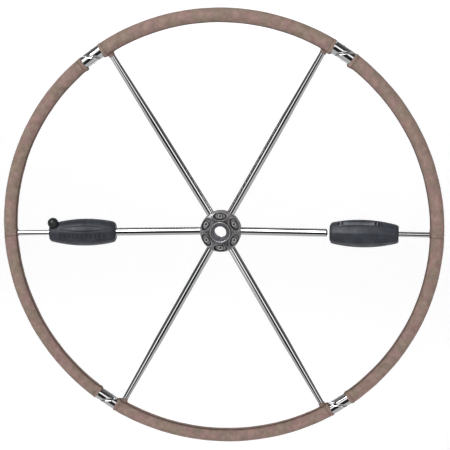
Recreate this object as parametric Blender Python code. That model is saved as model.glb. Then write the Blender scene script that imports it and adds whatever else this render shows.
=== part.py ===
"""Folding yacht steering wheel.

A dished six-spoke wheel on a keyed hub. Four hinges let the left and right sides of the
leather-covered rim fold towards the helmsman, and each side carries a grip on a sleeve that
slides and turns on a rod in line with the horizontal spoke.

Frame, in metres: +Z up, -Y towards the helmsman, origin on the shaft's axis where the spokes meet.
"""
import math

import bmesh
import bpy
from mathutils import Matrix, Quaternion, Vector

# Wheel and rim
WHEEL_RADIUS = 0.457
LEATHER_RADIUS = 0.0146
LEATHER_THICKNESS = 0.0016
TUBE_RADIUS = 0.0127
TUBE_WALL = 0.0015
RIM_RADIUS = WHEEL_RADIUS - LEATHER_RADIUS
DISH = 0.0346
GAP = 0.0003
RIM_SIDES = 8
RIM_STEP = math.radians(5.9)
SPOKE_SIDES = 16
ROUND_SIDES = 20
PIN_SIDES = 14
SMALL_SIDES = 12
STEM_SIDES = 10

# Hinges in the rim
HINGE_ANGLE = math.radians(55.5)
HINGE_X = RIM_RADIUS * math.cos(HINGE_ANGLE)
HINGE_Z = RIM_RADIUS * math.sin(HINGE_ANGLE)
KNUCKLE_RADIUS = 0.0134
KNUCKLE_HALF_LENGTH = 0.0208
SPIGOT_RADIUS = 0.0088
SPIGOT_LENGTH = 0.010
HINGE_PIN_RADIUS = 0.004
HINGE_PIN_HALF_LENGTH = 0.015
LEATHER_END = 0.022
COVER_SEAM_DROP = 0.004

# Spokes
DIAGONAL_ANGLES = {
    "upper_right": math.radians(60), "upper_left": math.radians(120),
    "lower_left": math.radians(240), "lower_right": math.radians(300),
}
SPOKE_TILT = math.atan2(DISH, RIM_RADIUS)
SPOKE_RADIUS = 0.0086
SPOKE_WALL = 0.0015
SPOKE_ROOT = 0.0236
SPOKE_TAPER_START = 0.272
SPOKE_TAPER_SHOULDER = 0.300
SPOKE_SHOULDER_RADIUS = 0.0078
SPOKE_TIP_RADIUS = 0.0059
RIM_WELD_GAP = 0.0009
SPOKE_END = (RIM_RADIUS - TUBE_RADIUS - RIM_WELD_GAP) / math.cos(SPOKE_TILT)
NOSE_LENGTH = 0.0022
NOSE_TIP_RADIUS = 0.0034

# Hub, measured along +Y from the spokes' plane
HUB_RADIUS = 0.043
HUB_SIDES = 30
HUB_SPLIT = -0.0015
HUB_FRONT = -0.019
HUB_BACK = 0.013
SLEEVE_RADIUS = 0.022
SLEEVE_LIP = -0.0205
SLEEVE_LIP_WIDTH = 0.002
SLEEVE_FACE = -0.0193
SLEEVE_BACK = 0.0135
BORE_FRONT_RADIUS = 0.0127
BORE_LENGTH = 0.026
BORE_TAPER = 1 / 24
COUNTERBORE_RADIUS = 0.0165
KEYWAY_WIDTH = 0.0052
KEYWAY_DEPTH = 0.003
SCREW_CIRCLE = 0.0337
SCREW_COUNT = 6
SCREW_HEAD_RADIUS = 0.005
SCREW_HEAD_HEIGHT = 0.0052
SCREW_SHANK_RADIUS = 0.003
SCREW_TIP = 0.009
SOCKET_RADIUS = 0.0027
SOCKET_DEPTH = 0.003
POCKET_FLOOR = -0.0115
POCKET_HALF_LENGTH = 0.0135
POCKET_HALF_WIDTH = 0.0075

# Outer rods, and the sleeves and grips on them; lengths run outwards from the grip's inner end
ROD_RADIUS = 0.0056
ROD_START = 0.2694
ROD_STOP_RADIUS = 0.008
ROD_STOP_LENGTH = 0.006
GRIP_START = {"left": 0.2214, "right": 0.2280}
GRIP_LENGTH = 0.1395
GRIP_MAX_RADIUS = 0.0285
GRIP_CROWN = 0.46
GRIP_FALL = 0.0355
GRIP_STATIONS = 9
SHELL_START = 0.0015
SLEEVE_TUBE_RADIUS = 0.012
SLEEVE_TUBE_LENGTH = 0.1335
SLEEVE_BORE = 0.006
CHAMBER_RADIUS = 0.0084
CHAMBER_END = 0.060
FLANGE_RADIUS = 0.017
FLANGE_LENGTH = 0.006
SOCKET_PLUG_RADIUS = 0.0112
SOCKET_PLUG_HEAD = 0.0045
SOCKET_PLUG_LENGTH = 0.0068
SOCKET_CONE_DEPTH = 0.0026
SOCKET_CONE_MOUTH = 0.0092
SOCKET_CONE_FLOOR = 0.0038
END_RING_RADIUS = 0.0145
END_RING_LENGTH = 0.0045

# Ball on a radial plunger in the left grip
BALL_RADIUS = 0.010
BALL_STATION = 0.1301
BALL_HEIGHT = 0.0262
BALL_ANGLE = math.radians(61)
BALL_SOCKET_DEPTH = 0.004
SCOOP_RADIUS = 0.0108
STEM_RADIUS = 0.0022
STEM_START = 0.0126
STEM_END = 0.0197

# Press bar under two cross pins in the right grip
BAR_ANGLE = math.radians(64)
BAR_HALF_WIDTH = 0.0045
BAR_START = 0.0195
BAR_END = 0.0995
BAR_LUG = 0.008
BAR_FLOOR = 0.0178
BAR_LUG_TOP = 0.0212
BAR_TOP = 0.0262
SLOT_FLOOR = 0.015
SLOT_MARGIN = 0.001
SLOT_HALF_WIDTH = 0.005
BAR_PIN_RADIUS = 0.0016
BAR_PIN_HEIGHT = 0.0232
BAR_PIN_HALF_LENGTH = 0.0095
BAR_PIN_STATIONS = {"inner": 0.0225, "outer": 0.0965}

SIDES = {"left": -1, "right": 1}
UP = Vector((0, 0, 1))
BACK = Vector((0, 1, 0))

MATERIALS = {
    "stainless": ((0.62, 0.63, 0.65), 0.12, 1.0),
    "cast_steel": ((0.11, 0.11, 0.125), 0.42, 0.9),
    "leather": ((0.297, 0.216, 0.191), 0.85, 0.0),
    "grip_plastic": ((0.05, 0.053, 0.068), 0.55, 0.0),
    "black_plastic": ((0.012, 0.012, 0.014), 0.3, 0.0),
}


def material(name, variant):
    """One Principled material for one sub-part, from the named finish."""
    colour, roughness, metallic = MATERIALS[name]
    made = bpy.data.materials.new(f"{name}_{variant}")
    made.use_nodes = True
    shader = made.node_tree.nodes["Principled BSDF"]
    shader.inputs["Base Color"].default_value = (*colour, 1)
    shader.inputs["Roughness"].default_value = roughness
    shader.inputs["Metallic"].default_value = metallic
    return made


def add_object(name, mesh_data, finish, body, location=(0, 0, 0), rotation=Quaternion()):
    """A named object from a bmesh, shaded smooth and carried by its body's empty."""
    bmesh.ops.recalc_face_normals(mesh_data, faces=mesh_data.faces)
    mesh = bpy.data.meshes.new(name)
    mesh_data.to_mesh(mesh)
    mesh_data.free()
    mesh.shade_smooth()
    mesh.set_sharp_from_angle(angle=math.radians(40))
    made = bpy.data.objects.new(name, mesh)
    bpy.context.collection.objects.link(made)
    made.location = location
    made.rotation_euler = rotation.to_euler()
    if finish:
        mesh.materials.append(material(finish, name))
        made.parent = body["empty"]
        made.matrix_parent_inverse = Matrix.Translation(-body["place"])
    return made


def add_body(name, place, parent=None):
    """An empty on a joint's axis, which carries the pieces of one moving body."""
    empty = bpy.data.objects.new(f"{name}_axis", None)
    bpy.context.collection.objects.link(empty)
    if parent:
        empty.parent = parent["empty"]
        empty.location = place - parent["place"]
    else:
        empty.location = place
    return {"empty": empty, "place": Vector(place)}


def turned_mesh(profile, sides):
    """A solid turned about +Z from (height, radius) points.

    A profile that starts on the axis also ends on it; any other profile is a closed ring.
    """
    mesh_data = bmesh.new()
    rings = []
    for height, radius in profile:
        if radius == 0:
            rings.append([mesh_data.verts.new((0, 0, height))])
            continue
        ring = []
        for index in range(sides):
            angle = 2 * math.pi * (index + 0.5) / sides
            ring.append(mesh_data.verts.new((radius * math.cos(angle), radius * math.sin(angle), height)))
        rings.append(ring)
    pairs = list(zip(rings, rings[1:]))
    if profile[0][1] > 0:
        pairs.append((rings[-1], rings[0]))
    for first, second in pairs:
        for index in range(sides):
            following = (index + 1) % sides
            corners = [
                first[index % len(first)], first[following % len(first)],
                second[following % len(second)], second[index % len(second)],
            ]
            mesh_data.faces.new(list(dict.fromkeys(corners)))
    return mesh_data


def add_turned(name, profile, start, direction, finish, body, sides):
    """A turned piece whose axis leaves start along direction."""
    rotation = Vector(direction).to_track_quat("Z", "Y")
    return add_object(name, turned_mesh(profile, sides), finish, body, start, rotation)


def rod_profile(start, end, radius):
    return [(start, 0), (start, radius), (end, radius), (end, 0)]


def add_cutter(name, mesh_data, location=(0, 0, 0), rotation=Quaternion()):
    cutter = add_object(f"cut_{name}", mesh_data, None, None, location, rotation)
    cutter.hide_render = True
    cutter.display_type = "WIRE"
    return cutter


def add_drill(name, start, end, radius, foot, direction, sides):
    """A round cutter from start to end along direction, measured from foot."""
    rotation = Vector(direction).to_track_quat("Z", "Y")
    return add_cutter(name, turned_mesh(rod_profile(start, end, radius), sides), foot, rotation)


def cut(piece, cutter):
    modifier = piece.modifiers.new(cutter.name, "BOOLEAN")
    modifier.operation = "DIFFERENCE"
    modifier.solver = "EXACT"
    modifier.object = cutter


def box_mesh(low, high):
    mesh_data = bmesh.new()
    bmesh.ops.create_cube(mesh_data, size=1)
    low, high = Vector(low), Vector(high)
    bmesh.ops.scale(mesh_data, vec=high - low, verts=mesh_data.verts)
    bmesh.ops.translate(mesh_data, vec=(low + high) / 2, verts=mesh_data.verts)
    return mesh_data


def rim_point(angle, radius, section_angle):
    """A point on the rim's section: its centre line lies in the plane y = -DISH."""
    reach = RIM_RADIUS + radius * math.cos(section_angle)
    return (reach * math.cos(angle), -DISH + radius * math.sin(section_angle), reach * math.sin(angle))


def rim_stations(start, end):
    """Evenly spaced angles along the rim, from start to end."""
    steps = math.ceil(abs(end - start) / RIM_STEP)
    return [start + (end - start) * step / steps for step in range(steps + 1)]


def rim_arc_mesh(angles, outer, inner):
    """A hollow stretch of the rim through the given angles, open at both ends."""
    mesh_data = bmesh.new()
    sections = []
    for angle in angles:
        walls = []
        for radius in (outer, inner):
            places = [2 * math.pi * (index + 0.5) / RIM_SIDES for index in range(RIM_SIDES)]
            walls.append([mesh_data.verts.new(rim_point(angle, radius, place)) for place in places])
        sections.append(walls)
    for index in range(RIM_SIDES):
        following = (index + 1) % RIM_SIDES
        for first, second in zip(sections, sections[1:]):
            for wall in (0, 1):
                mesh_data.faces.new((
                    first[wall][index], first[wall][following],
                    second[wall][following], second[wall][index],
                ))
        for walls in (sections[0], sections[-1]):
            mesh_data.faces.new((
                walls[0][index], walls[0][following], walls[1][following], walls[1][index],
            ))
    return mesh_data


def spoke_direction(angle):
    level = math.cos(SPOKE_TILT)
    return Vector((level * math.cos(angle), -math.sin(SPOKE_TILT), level * math.sin(angle)))


def side_direction(side):
    return spoke_direction(0 if SIDES[side] > 0 else math.pi)


def front_direction(side):
    """Towards the helmsman, square to the side's spoke."""
    return Vector((-SIDES[side] * math.sin(SPOKE_TILT), -math.cos(SPOKE_TILT), 0))


def radial_direction(side, angle):
    """Out from the side's spoke, at an angle up from the front."""
    return front_direction(side) * math.cos(angle) + UP * math.sin(angle)


def grip_place(side, station, height=0.0, angle=0.0):
    """A point on a grip: how far along it, how far from its axis, and how far up from the front."""
    along = side_direction(side) * (GRIP_START[side] + station)
    return along + radial_direction(side, angle) * height


def grip_radius(station):
    """The grip's barrel outline, fullest a little nearer its inner end."""
    return GRIP_MAX_RADIUS - GRIP_FALL * (station / GRIP_LENGTH - GRIP_CROWN) ** 2


def build_hub(body):
    """Two castings that clamp the spokes, round a keyed sleeve, with six socket screws."""
    seat = SLEEVE_RADIUS + GAP
    front = add_turned("hub_front_cap", [
        (HUB_SPLIT - GAP / 2, seat), (HUB_SPLIT - GAP / 2, HUB_RADIUS),
        (-0.0135, HUB_RADIUS), (-0.0160, 0.0415), (-0.0180, 0.0375), (HUB_FRONT, 0.0300),
        (HUB_FRONT, seat),
    ], (0, 0, 0), BACK, "cast_steel", body, HUB_SIDES)
    back = add_turned("hub_body", [
        (HUB_SPLIT + GAP / 2, seat), (HUB_SPLIT + GAP / 2, HUB_RADIUS),
        (0.0090, HUB_RADIUS), (0.0120, 0.0410), (HUB_BACK, 0.0380), (HUB_BACK, seat),
    ], (0, 0, 0), BACK, "cast_steel", body, HUB_SIDES)
    spoke_angles = [math.radians(60) * index for index in range(6)]
    for index, angle in enumerate(spoke_angles):
        channel = add_drill(
            f"channel_{index}", SPOKE_ROOT - GAP, HUB_RADIUS + 0.02, SPOKE_RADIUS + GAP, (0, 0, 0),
            spoke_direction(angle), SMALL_SIDES)
        cut(front, channel)
        cut(back, channel)

    bore_back = SLEEVE_FACE + BORE_LENGTH
    sleeve = add_turned("hub_sleeve", [
        (SLEEVE_LIP, SLEEVE_RADIUS), (SLEEVE_LIP, SLEEVE_RADIUS - SLEEVE_LIP_WIDTH),
        (SLEEVE_FACE, SLEEVE_RADIUS - SLEEVE_LIP_WIDTH - GAP), (SLEEVE_FACE, BORE_FRONT_RADIUS),
        (bore_back, BORE_FRONT_RADIUS + BORE_LENGTH * BORE_TAPER), (bore_back, COUNTERBORE_RADIUS),
        (SLEEVE_BACK, COUNTERBORE_RADIUS), (SLEEVE_BACK, SLEEVE_RADIUS),
    ], (0, 0, 0), BACK, "cast_steel", body, HUB_SIDES)
    cut(sleeve, add_cutter("keyway", box_mesh(
        (-KEYWAY_WIDTH / 2, SLEEVE_LIP - 0.01, -BORE_FRONT_RADIUS - KEYWAY_DEPTH),
        (KEYWAY_WIDTH / 2, SLEEVE_BACK + 0.01, -BORE_FRONT_RADIUS * 0.8))))

    for index in range(SCREW_COUNT):
        angle = math.radians(30) + 2 * math.pi * index / SCREW_COUNT
        centre = Vector((SCREW_CIRCLE * math.cos(angle), 0, SCREW_CIRCLE * math.sin(angle)))
        pocket = turned_mesh(rod_profile(POCKET_FLOOR, HUB_FRONT - 0.01, 1), PIN_SIDES)
        bmesh.ops.scale(pocket, vec=(POCKET_HALF_WIDTH, POCKET_HALF_LENGTH, 1), verts=pocket.verts)
        # The profile's height runs along +Y; its first cross axis is turned to the hub's radius.
        axes = Matrix((
            (math.cos(angle), -math.sin(angle), 0), (0, 0, 1), (math.sin(angle), math.cos(angle), 0)))
        bmesh.ops.transform(pocket, matrix=axes.to_4x4(), verts=pocket.verts)
        cut(front, add_cutter(f"pocket_{index}", pocket, centre))
        hole = add_drill(
            f"screw_hole_{index}", HUB_FRONT, SCREW_TIP + 0.001, SCREW_SHANK_RADIUS + GAP, centre, BACK,
            SMALL_SIDES)
        cut(front, hole)
        cut(back, hole)
        head_seat = POCKET_FLOOR - GAP
        head_top = head_seat - SCREW_HEAD_HEIGHT
        screw = add_turned(f"hub_screw_{index + 1}", [
            (head_top, 0), (head_top, SCREW_HEAD_RADIUS - 0.0006), (head_top + 0.0006, SCREW_HEAD_RADIUS),
            (head_seat, SCREW_HEAD_RADIUS), (head_seat, SCREW_SHANK_RADIUS),
            (SCREW_TIP, SCREW_SHANK_RADIUS), (SCREW_TIP, 0),
        ], centre, BACK, "cast_steel", body, SMALL_SIDES)
        cut(screw, add_drill(
            f"socket_{index}", head_top - 0.002, head_top + SOCKET_DEPTH, SOCKET_RADIUS, centre, BACK, 6))


def build_diagonal_spokes(body):
    """Four tubes that neck down towards the rim."""
    outline = [
        (SPOKE_ROOT, SPOKE_RADIUS), (SPOKE_TAPER_START, SPOKE_RADIUS),
        (SPOKE_TAPER_SHOULDER, SPOKE_SHOULDER_RADIUS), (SPOKE_END, SPOKE_TIP_RADIUS),
    ]
    inside = [(height, radius - SPOKE_WALL) for height, radius in reversed(outline)]
    for name, angle in DIAGONAL_ANGLES.items():
        add_turned(
            f"spoke_{name}", outline + inside, (0, 0, 0), spoke_direction(angle), "stainless", body,
            SPOKE_SIDES)


def build_inner_spoke(side, body):
    """The horizontal spoke from the hub to the grip: a tube closed by a short conical nose."""
    shoulder = GRIP_START["left"] - GAP
    tip = shoulder + NOSE_LENGTH
    plug = shoulder - 0.003
    add_turned(f"inner_spoke_{side}", [
        (tip, 0), (tip, NOSE_TIP_RADIUS), (shoulder, SPOKE_RADIUS), (SPOKE_ROOT, SPOKE_RADIUS),
        (SPOKE_ROOT, SPOKE_RADIUS - SPOKE_WALL), (plug, SPOKE_RADIUS - SPOKE_WALL), (plug, 0),
    ], (0, 0, 0), side_direction(side), "stainless", body, ROUND_SIDES)


def add_rim_stretch(place, tube_angles, covers, body, spoke_angles, hole_radius):
    """A steel tube and the leather covers sewn round it, with holes where spokes enter."""
    tube = rim_arc_mesh(tube_angles, TUBE_RADIUS, TUBE_RADIUS - TUBE_WALL)
    add_object(f"rim_tube_{place}", tube, "stainless", body)
    holes = []
    for index, angle in enumerate(spoke_angles):
        holes.append(add_drill(
            f"spoke_hole_{place}_{index}", SPOKE_END - 0.02, SPOKE_END + 0.008, hole_radius, (0, 0, 0),
            spoke_direction(angle), SMALL_SIDES))
    for name, span in covers.items():
        cover = rim_arc_mesh(rim_stations(*span), LEATHER_RADIUS, LEATHER_RADIUS - LEATHER_THICKNESS)
        leather = add_object(f"leather_{name}", cover, "leather", body)
        for hole in holes:
            cut(leather, hole)


def build_fixed_rim(body):
    """The top and bottom stretches, each carried by two diagonal spokes."""
    trim = LEATHER_END / RIM_RADIUS
    for place, turn in (("top", 1), ("bottom", -1)):
        span = (turn * (HINGE_ANGLE + trim), turn * (math.pi - HINGE_ANGLE - trim))
        angles = [turn * math.radians(60), turn * math.radians(120)]
        add_rim_stretch(place, rim_stations(*span), {place: span}, body, angles, SPOKE_TIP_RADIUS + 0.0005)


def build_side_rim(side, body):
    """A side stretch, with an upper and a lower cover that meet just under the rod."""
    end = HINGE_ANGLE - LEATHER_END / RIM_RADIUS
    seam = -COVER_SEAM_DROP / RIM_RADIUS
    slit = GAP / RIM_RADIUS
    covers = {f"{side}_upper": (seam + slit / 2, end), f"{side}_lower": (-end, seam - slit / 2)}
    tube_angles = rim_stations(-end, seam) + rim_stations(seam, end)[1:]
    rod_angle = 0.0
    if SIDES[side] < 0:
        covers = {name: (math.pi - first, math.pi - last) for name, (first, last) in covers.items()}
        tube_angles = [math.pi - angle for angle in tube_angles]
        rod_angle = math.pi
    add_rim_stretch(side, tube_angles, covers, body, [rod_angle], ROD_RADIUS + 0.0005)


def add_knuckle(name, centre, towards, keep, body):
    """Half of a hinge: a tube end cut on the level plane through the hinge, with a spigot."""
    far_end = KNUCKLE_HALF_LENGTH + SPIGOT_LENGTH
    mesh_data = turned_mesh([
        (-0.024, 0), (-0.024, KNUCKLE_RADIUS), (KNUCKLE_HALF_LENGTH, KNUCKLE_RADIUS),
        (KNUCKLE_HALF_LENGTH, SPIGOT_RADIUS), (far_end, SPIGOT_RADIUS), (far_end, 0),
    ], ROUND_SIDES)
    turn = towards.to_track_quat("Z", "Y").to_matrix().to_4x4()
    bmesh.ops.transform(mesh_data, matrix=turn, verts=mesh_data.verts)
    sliced = bmesh.ops.bisect_plane(
        mesh_data, geom=mesh_data.verts[:] + mesh_data.edges[:] + mesh_data.faces[:],
        plane_co=UP * keep * GAP / 2, plane_no=UP * keep, clear_inner=True)
    rim = [item for item in sliced["geom_cut"] if isinstance(item, bmesh.types.BMEdge)]
    bmesh.ops.edgeloop_fill(mesh_data, edges=rim)
    return add_object(name, mesh_data, "stainless", body, centre)


def build_hinges(centre_body, side_bodies):
    for side, outward in SIDES.items():
        for place, upward in (("upper", 1), ("lower", -1)):
            label = f"{place}_{side}"
            centre = Vector((outward * HINGE_X, -DISH, upward * HINGE_Z))
            to_fixed = Vector((-outward * math.sin(HINGE_ANGLE), 0, upward * math.cos(HINGE_ANGLE)))
            fixed = add_knuckle(f"hinge_fixed_{label}", centre, to_fixed, upward, centre_body)
            moving = add_knuckle(f"hinge_moving_{label}", centre, -to_fixed, -upward, side_bodies[side])
            pin_ends = (-HINGE_PIN_HALF_LENGTH, HINGE_PIN_HALF_LENGTH)
            add_turned(
                f"hinge_pin_{label}", rod_profile(*pin_ends, HINGE_PIN_RADIUS), centre, UP, "stainless",
                centre_body, PIN_SIDES)
            hole = add_drill(f"pin_hole_{label}", -0.02, 0.02, HINGE_PIN_RADIUS + GAP, centre, UP, PIN_SIDES)
            cut(fixed, hole)
            cut(moving, hole)


def build_rod(side, body):
    """The rod welded to the rim, and the stop on its inner end."""
    direction = side_direction(side)
    add_turned(f"outer_rod_{side}", rod_profile(ROD_START + ROD_STOP_LENGTH + GAP, SPOKE_END, ROD_RADIUS),
               (0, 0, 0), direction, "stainless", body, SPOKE_SIDES)
    add_turned(f"rod_stop_{side}", rod_profile(ROD_START, ROD_START + ROD_STOP_LENGTH, ROD_STOP_RADIUS),
               (0, 0, 0), direction, "stainless", body, SPOKE_SIDES)


def build_sleeve(side, body):
    """The sleeve that slides on the rod, its nose socket, and the ring that holds the grip on it."""
    start = grip_place(side, 0)
    direction = side_direction(side)
    add_turned(f"grip_sleeve_{side}", [
        (0, SOCKET_PLUG_RADIUS + GAP), (0, FLANGE_RADIUS), (FLANGE_LENGTH, FLANGE_RADIUS),
        (FLANGE_LENGTH, SLEEVE_TUBE_RADIUS), (SLEEVE_TUBE_LENGTH, SLEEVE_TUBE_RADIUS),
        (SLEEVE_TUBE_LENGTH, SLEEVE_BORE), (CHAMBER_END, SLEEVE_BORE), (CHAMBER_END, CHAMBER_RADIUS),
        (SOCKET_PLUG_HEAD + GAP, CHAMBER_RADIUS), (SOCKET_PLUG_HEAD + GAP, SOCKET_PLUG_RADIUS + GAP),
    ], start, direction, "black_plastic", body, ROUND_SIDES)
    add_turned(f"nose_socket_{side}", [
        (SOCKET_CONE_DEPTH, 0), (SOCKET_CONE_DEPTH, SOCKET_CONE_FLOOR), (0, SOCKET_CONE_MOUTH),
        (0, SOCKET_PLUG_RADIUS), (SOCKET_PLUG_HEAD, SOCKET_PLUG_RADIUS),
        (SOCKET_PLUG_HEAD, CHAMBER_RADIUS - GAP), (SOCKET_PLUG_LENGTH, CHAMBER_RADIUS - GAP),
        (SOCKET_PLUG_LENGTH, 0),
    ], start, direction, "black_plastic", body, ROUND_SIDES)
    ring_start = SLEEVE_TUBE_LENGTH + GAP
    add_turned(f"grip_ring_{side}", [
        (ring_start, SLEEVE_BORE), (ring_start, END_RING_RADIUS),
        (ring_start + END_RING_LENGTH, END_RING_RADIUS), (ring_start + END_RING_LENGTH, SLEEVE_BORE),
    ], start, direction, "black_plastic", body, ROUND_SIDES)


def build_grip_shell(side, body):
    """The barrel that the hand holds, free to turn on the sleeve between its flange and ring.

    It starts short of the flange's face, so that it swings clear of the spoke's end.
    """
    bore = SLEEVE_TUBE_RADIUS + 2 * GAP
    flange_seat = FLANGE_RADIUS + 2 * GAP
    ring_seat = END_RING_RADIUS + GAP
    outline = []
    for index in range(GRIP_STATIONS + 1):
        station = SHELL_START + (GRIP_LENGTH - SHELL_START) * index / GRIP_STATIONS
        outline.append((station, grip_radius(station)))
    inside = [
        (GRIP_LENGTH, ring_seat), (SLEEVE_TUBE_LENGTH, ring_seat), (SLEEVE_TUBE_LENGTH, bore),
        (FLANGE_LENGTH + GAP, bore), (FLANGE_LENGTH + GAP, flange_seat), (SHELL_START, flange_seat),
    ]
    return add_turned(
        f"grip_shell_{side}", outline + inside, grip_place(side, 0), side_direction(side),
        "grip_plastic", body, ROUND_SIDES)


def build_ball_plunger(shell, body):
    """A ball on a stem that is pulled straight out of a scoop in the left grip's outer corner."""
    out = radial_direction("left", BALL_ANGLE)
    foot = grip_place("left", BALL_STATION)
    socket = STEM_RADIUS + GAP
    socket_edge = math.asin(socket / BALL_RADIUS)
    socket_floor = BALL_HEIGHT - BALL_RADIUS * math.cos(socket_edge) + BALL_SOCKET_DEPTH
    ball = [(socket_floor, 0), (socket_floor, socket)]
    steps = 8
    for index in range(steps + 1):
        angle = socket_edge + (math.pi - socket_edge) * index / steps
        reach = BALL_HEIGHT - BALL_RADIUS * math.cos(angle)
        ball.append((reach, BALL_RADIUS * math.sin(angle) if index < steps else 0))
    add_turned("release_ball_left", ball, foot, out, "black_plastic", body, SPOKE_SIDES)
    add_turned("release_stem_left", rod_profile(STEM_START, STEM_END, STEM_RADIUS), foot, out,
               "stainless", body, STEM_SIDES)

    scoop = bmesh.new()
    bmesh.ops.create_uvsphere(scoop, u_segments=16, v_segments=10, radius=SCOOP_RADIUS)
    cut(shell, add_cutter("ball_scoop", scoop, foot + out * BALL_HEIGHT))
    cut(shell, add_drill("stem_hole", 0.009, BALL_HEIGHT, STEM_RADIUS + GAP, foot, out, STEM_SIDES))


def build_press_bar(shell, shell_body, bar_body):
    """A bar let into the right grip, held in its slot by a cross pin over the lug at each end."""
    along = side_direction("right")
    out = radial_direction("right", BAR_ANGLE)
    across = out.cross(along)
    axes = Matrix((along, across, out)).transposed().to_4x4()
    start = grip_place("right", 0)

    outline = [
        (BAR_START, BAR_FLOOR), (BAR_END, BAR_FLOOR), (BAR_END, BAR_LUG_TOP),
        (BAR_END - BAR_LUG, BAR_LUG_TOP), (BAR_END - BAR_LUG, BAR_TOP),
        (BAR_START + BAR_LUG, BAR_TOP), (BAR_START + BAR_LUG, BAR_LUG_TOP), (BAR_START, BAR_LUG_TOP),
    ]
    mesh_data = bmesh.new()
    corners = [mesh_data.verts.new((station, -BAR_HALF_WIDTH, height)) for station, height in outline]
    face = mesh_data.faces.new(corners)
    pushed = bmesh.ops.extrude_face_region(mesh_data, geom=[face])
    moved = [item for item in pushed["geom"] if isinstance(item, bmesh.types.BMVert)]
    bmesh.ops.translate(mesh_data, vec=(0, 2 * BAR_HALF_WIDTH, 0), verts=moved)
    bmesh.ops.transform(mesh_data, matrix=axes, verts=mesh_data.verts)
    add_object("press_bar_right", mesh_data, "grip_plastic", bar_body, start)

    slot = box_mesh(
        (BAR_START - SLOT_MARGIN, -SLOT_HALF_WIDTH, SLOT_FLOOR),
        (BAR_END + SLOT_MARGIN, SLOT_HALF_WIDTH, GRIP_MAX_RADIUS + 0.01))
    bmesh.ops.transform(slot, matrix=axes, verts=slot.verts)
    cut(shell, add_cutter("bar_slot", slot, start))
    for place, station in BAR_PIN_STATIONS.items():
        centre = grip_place("right", station, BAR_PIN_HEIGHT, BAR_ANGLE)
        add_turned(
            f"bar_pin_{place}_right", rod_profile(-BAR_PIN_HALF_LENGTH, BAR_PIN_HALF_LENGTH, BAR_PIN_RADIUS),
            centre, across, "stainless", shell_body, SMALL_SIDES)
        cut(shell, add_drill(
            f"bar_pin_hole_{place}", -0.02, 0.02, BAR_PIN_RADIUS + GAP, centre, across,
            SMALL_SIDES))


def build_wheel():
    centre = add_body("wheel_centre", Vector((0, 0, 0)))
    build_hub(centre)
    build_diagonal_spokes(centre)
    build_fixed_rim(centre)
    sides = {}
    for side, outward in SIDES.items():
        build_inner_spoke(side, centre)
        sides[side] = add_body(f"side_{side}", Vector((outward * HINGE_X, -DISH, 0)))
        build_side_rim(side, sides[side])
        build_rod(side, sides[side])
    build_hinges(centre, sides)
    for side in SIDES:
        start = grip_place(side, 0)
        sleeve = add_body(f"sleeve_{side}", start, sides[side])
        build_sleeve(side, sleeve)
        grip = add_body(f"grip_{side}", start, sleeve)
        shell = build_grip_shell(side, grip)
        if side == "left":
            plunger = add_body("plunger_left", grip_place(side, BALL_STATION), grip)
            build_ball_plunger(shell, plunger)
        else:
            bar = add_body("bar_right", start, grip)
            build_press_bar(shell, grip, bar)


for leftover in list(bpy.data.objects):
    bpy.data.objects.remove(leftover, do_unlink=True)
build_wheel()
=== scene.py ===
# Looks of the folding yacht steering wheel. Metres, +Z up, -Y towards the helmsman, and the
# origin on the shaft's axis where the spokes meet, as in the CAD frame.
from math import asin, atan2, ceil, cos, exp, hypot, pi, radians, sin, sqrt, tau

import bmesh
import bpy
from mathutils import Matrix, Vector, noise


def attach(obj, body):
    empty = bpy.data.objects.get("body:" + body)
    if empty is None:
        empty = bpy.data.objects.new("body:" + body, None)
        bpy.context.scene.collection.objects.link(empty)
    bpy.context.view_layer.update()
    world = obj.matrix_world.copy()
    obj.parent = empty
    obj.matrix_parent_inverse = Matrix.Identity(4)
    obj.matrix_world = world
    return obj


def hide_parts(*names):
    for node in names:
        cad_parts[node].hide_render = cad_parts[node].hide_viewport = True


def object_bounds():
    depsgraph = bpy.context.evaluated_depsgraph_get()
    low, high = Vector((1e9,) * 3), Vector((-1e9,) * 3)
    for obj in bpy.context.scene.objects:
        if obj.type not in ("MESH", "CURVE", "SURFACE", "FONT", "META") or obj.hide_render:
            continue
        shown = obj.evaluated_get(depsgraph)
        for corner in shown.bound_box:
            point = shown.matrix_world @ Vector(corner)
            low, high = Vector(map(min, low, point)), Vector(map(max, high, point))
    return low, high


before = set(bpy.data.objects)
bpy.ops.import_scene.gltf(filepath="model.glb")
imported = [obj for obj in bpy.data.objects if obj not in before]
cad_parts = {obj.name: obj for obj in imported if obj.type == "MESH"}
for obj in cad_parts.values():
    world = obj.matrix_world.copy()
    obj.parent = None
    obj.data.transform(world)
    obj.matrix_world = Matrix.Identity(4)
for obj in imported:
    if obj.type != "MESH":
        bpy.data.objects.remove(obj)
cad_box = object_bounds()

# ---------------- sizes shared with the CAD frame
UP = Vector((0, 0, 1))
BACK = Vector((0, 1, 0))
SIDES = {"left": -1, "right": 1}

RIM_RADIUS = 0.4424
DISH = 0.0346
LEATHER_RADIUS = 0.0146
TUBE_RADIUS = 0.0127
TUBE_WALL = 0.0015
GAP = 0.0003
HINGE_ANGLE = radians(55.5)
KNUCKLE_RADIUS = 0.0134
KNUCKLE_HALF_LENGTH = 0.0208
SPIGOT_RADIUS = 0.0088
SPIGOT_LENGTH = 0.010
HINGE_PIN_RADIUS = 0.004
HINGE_PIN_HALF_LENGTH = 0.015
LEATHER_END = 0.022
COVER_SEAM_DROP = 0.004

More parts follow.
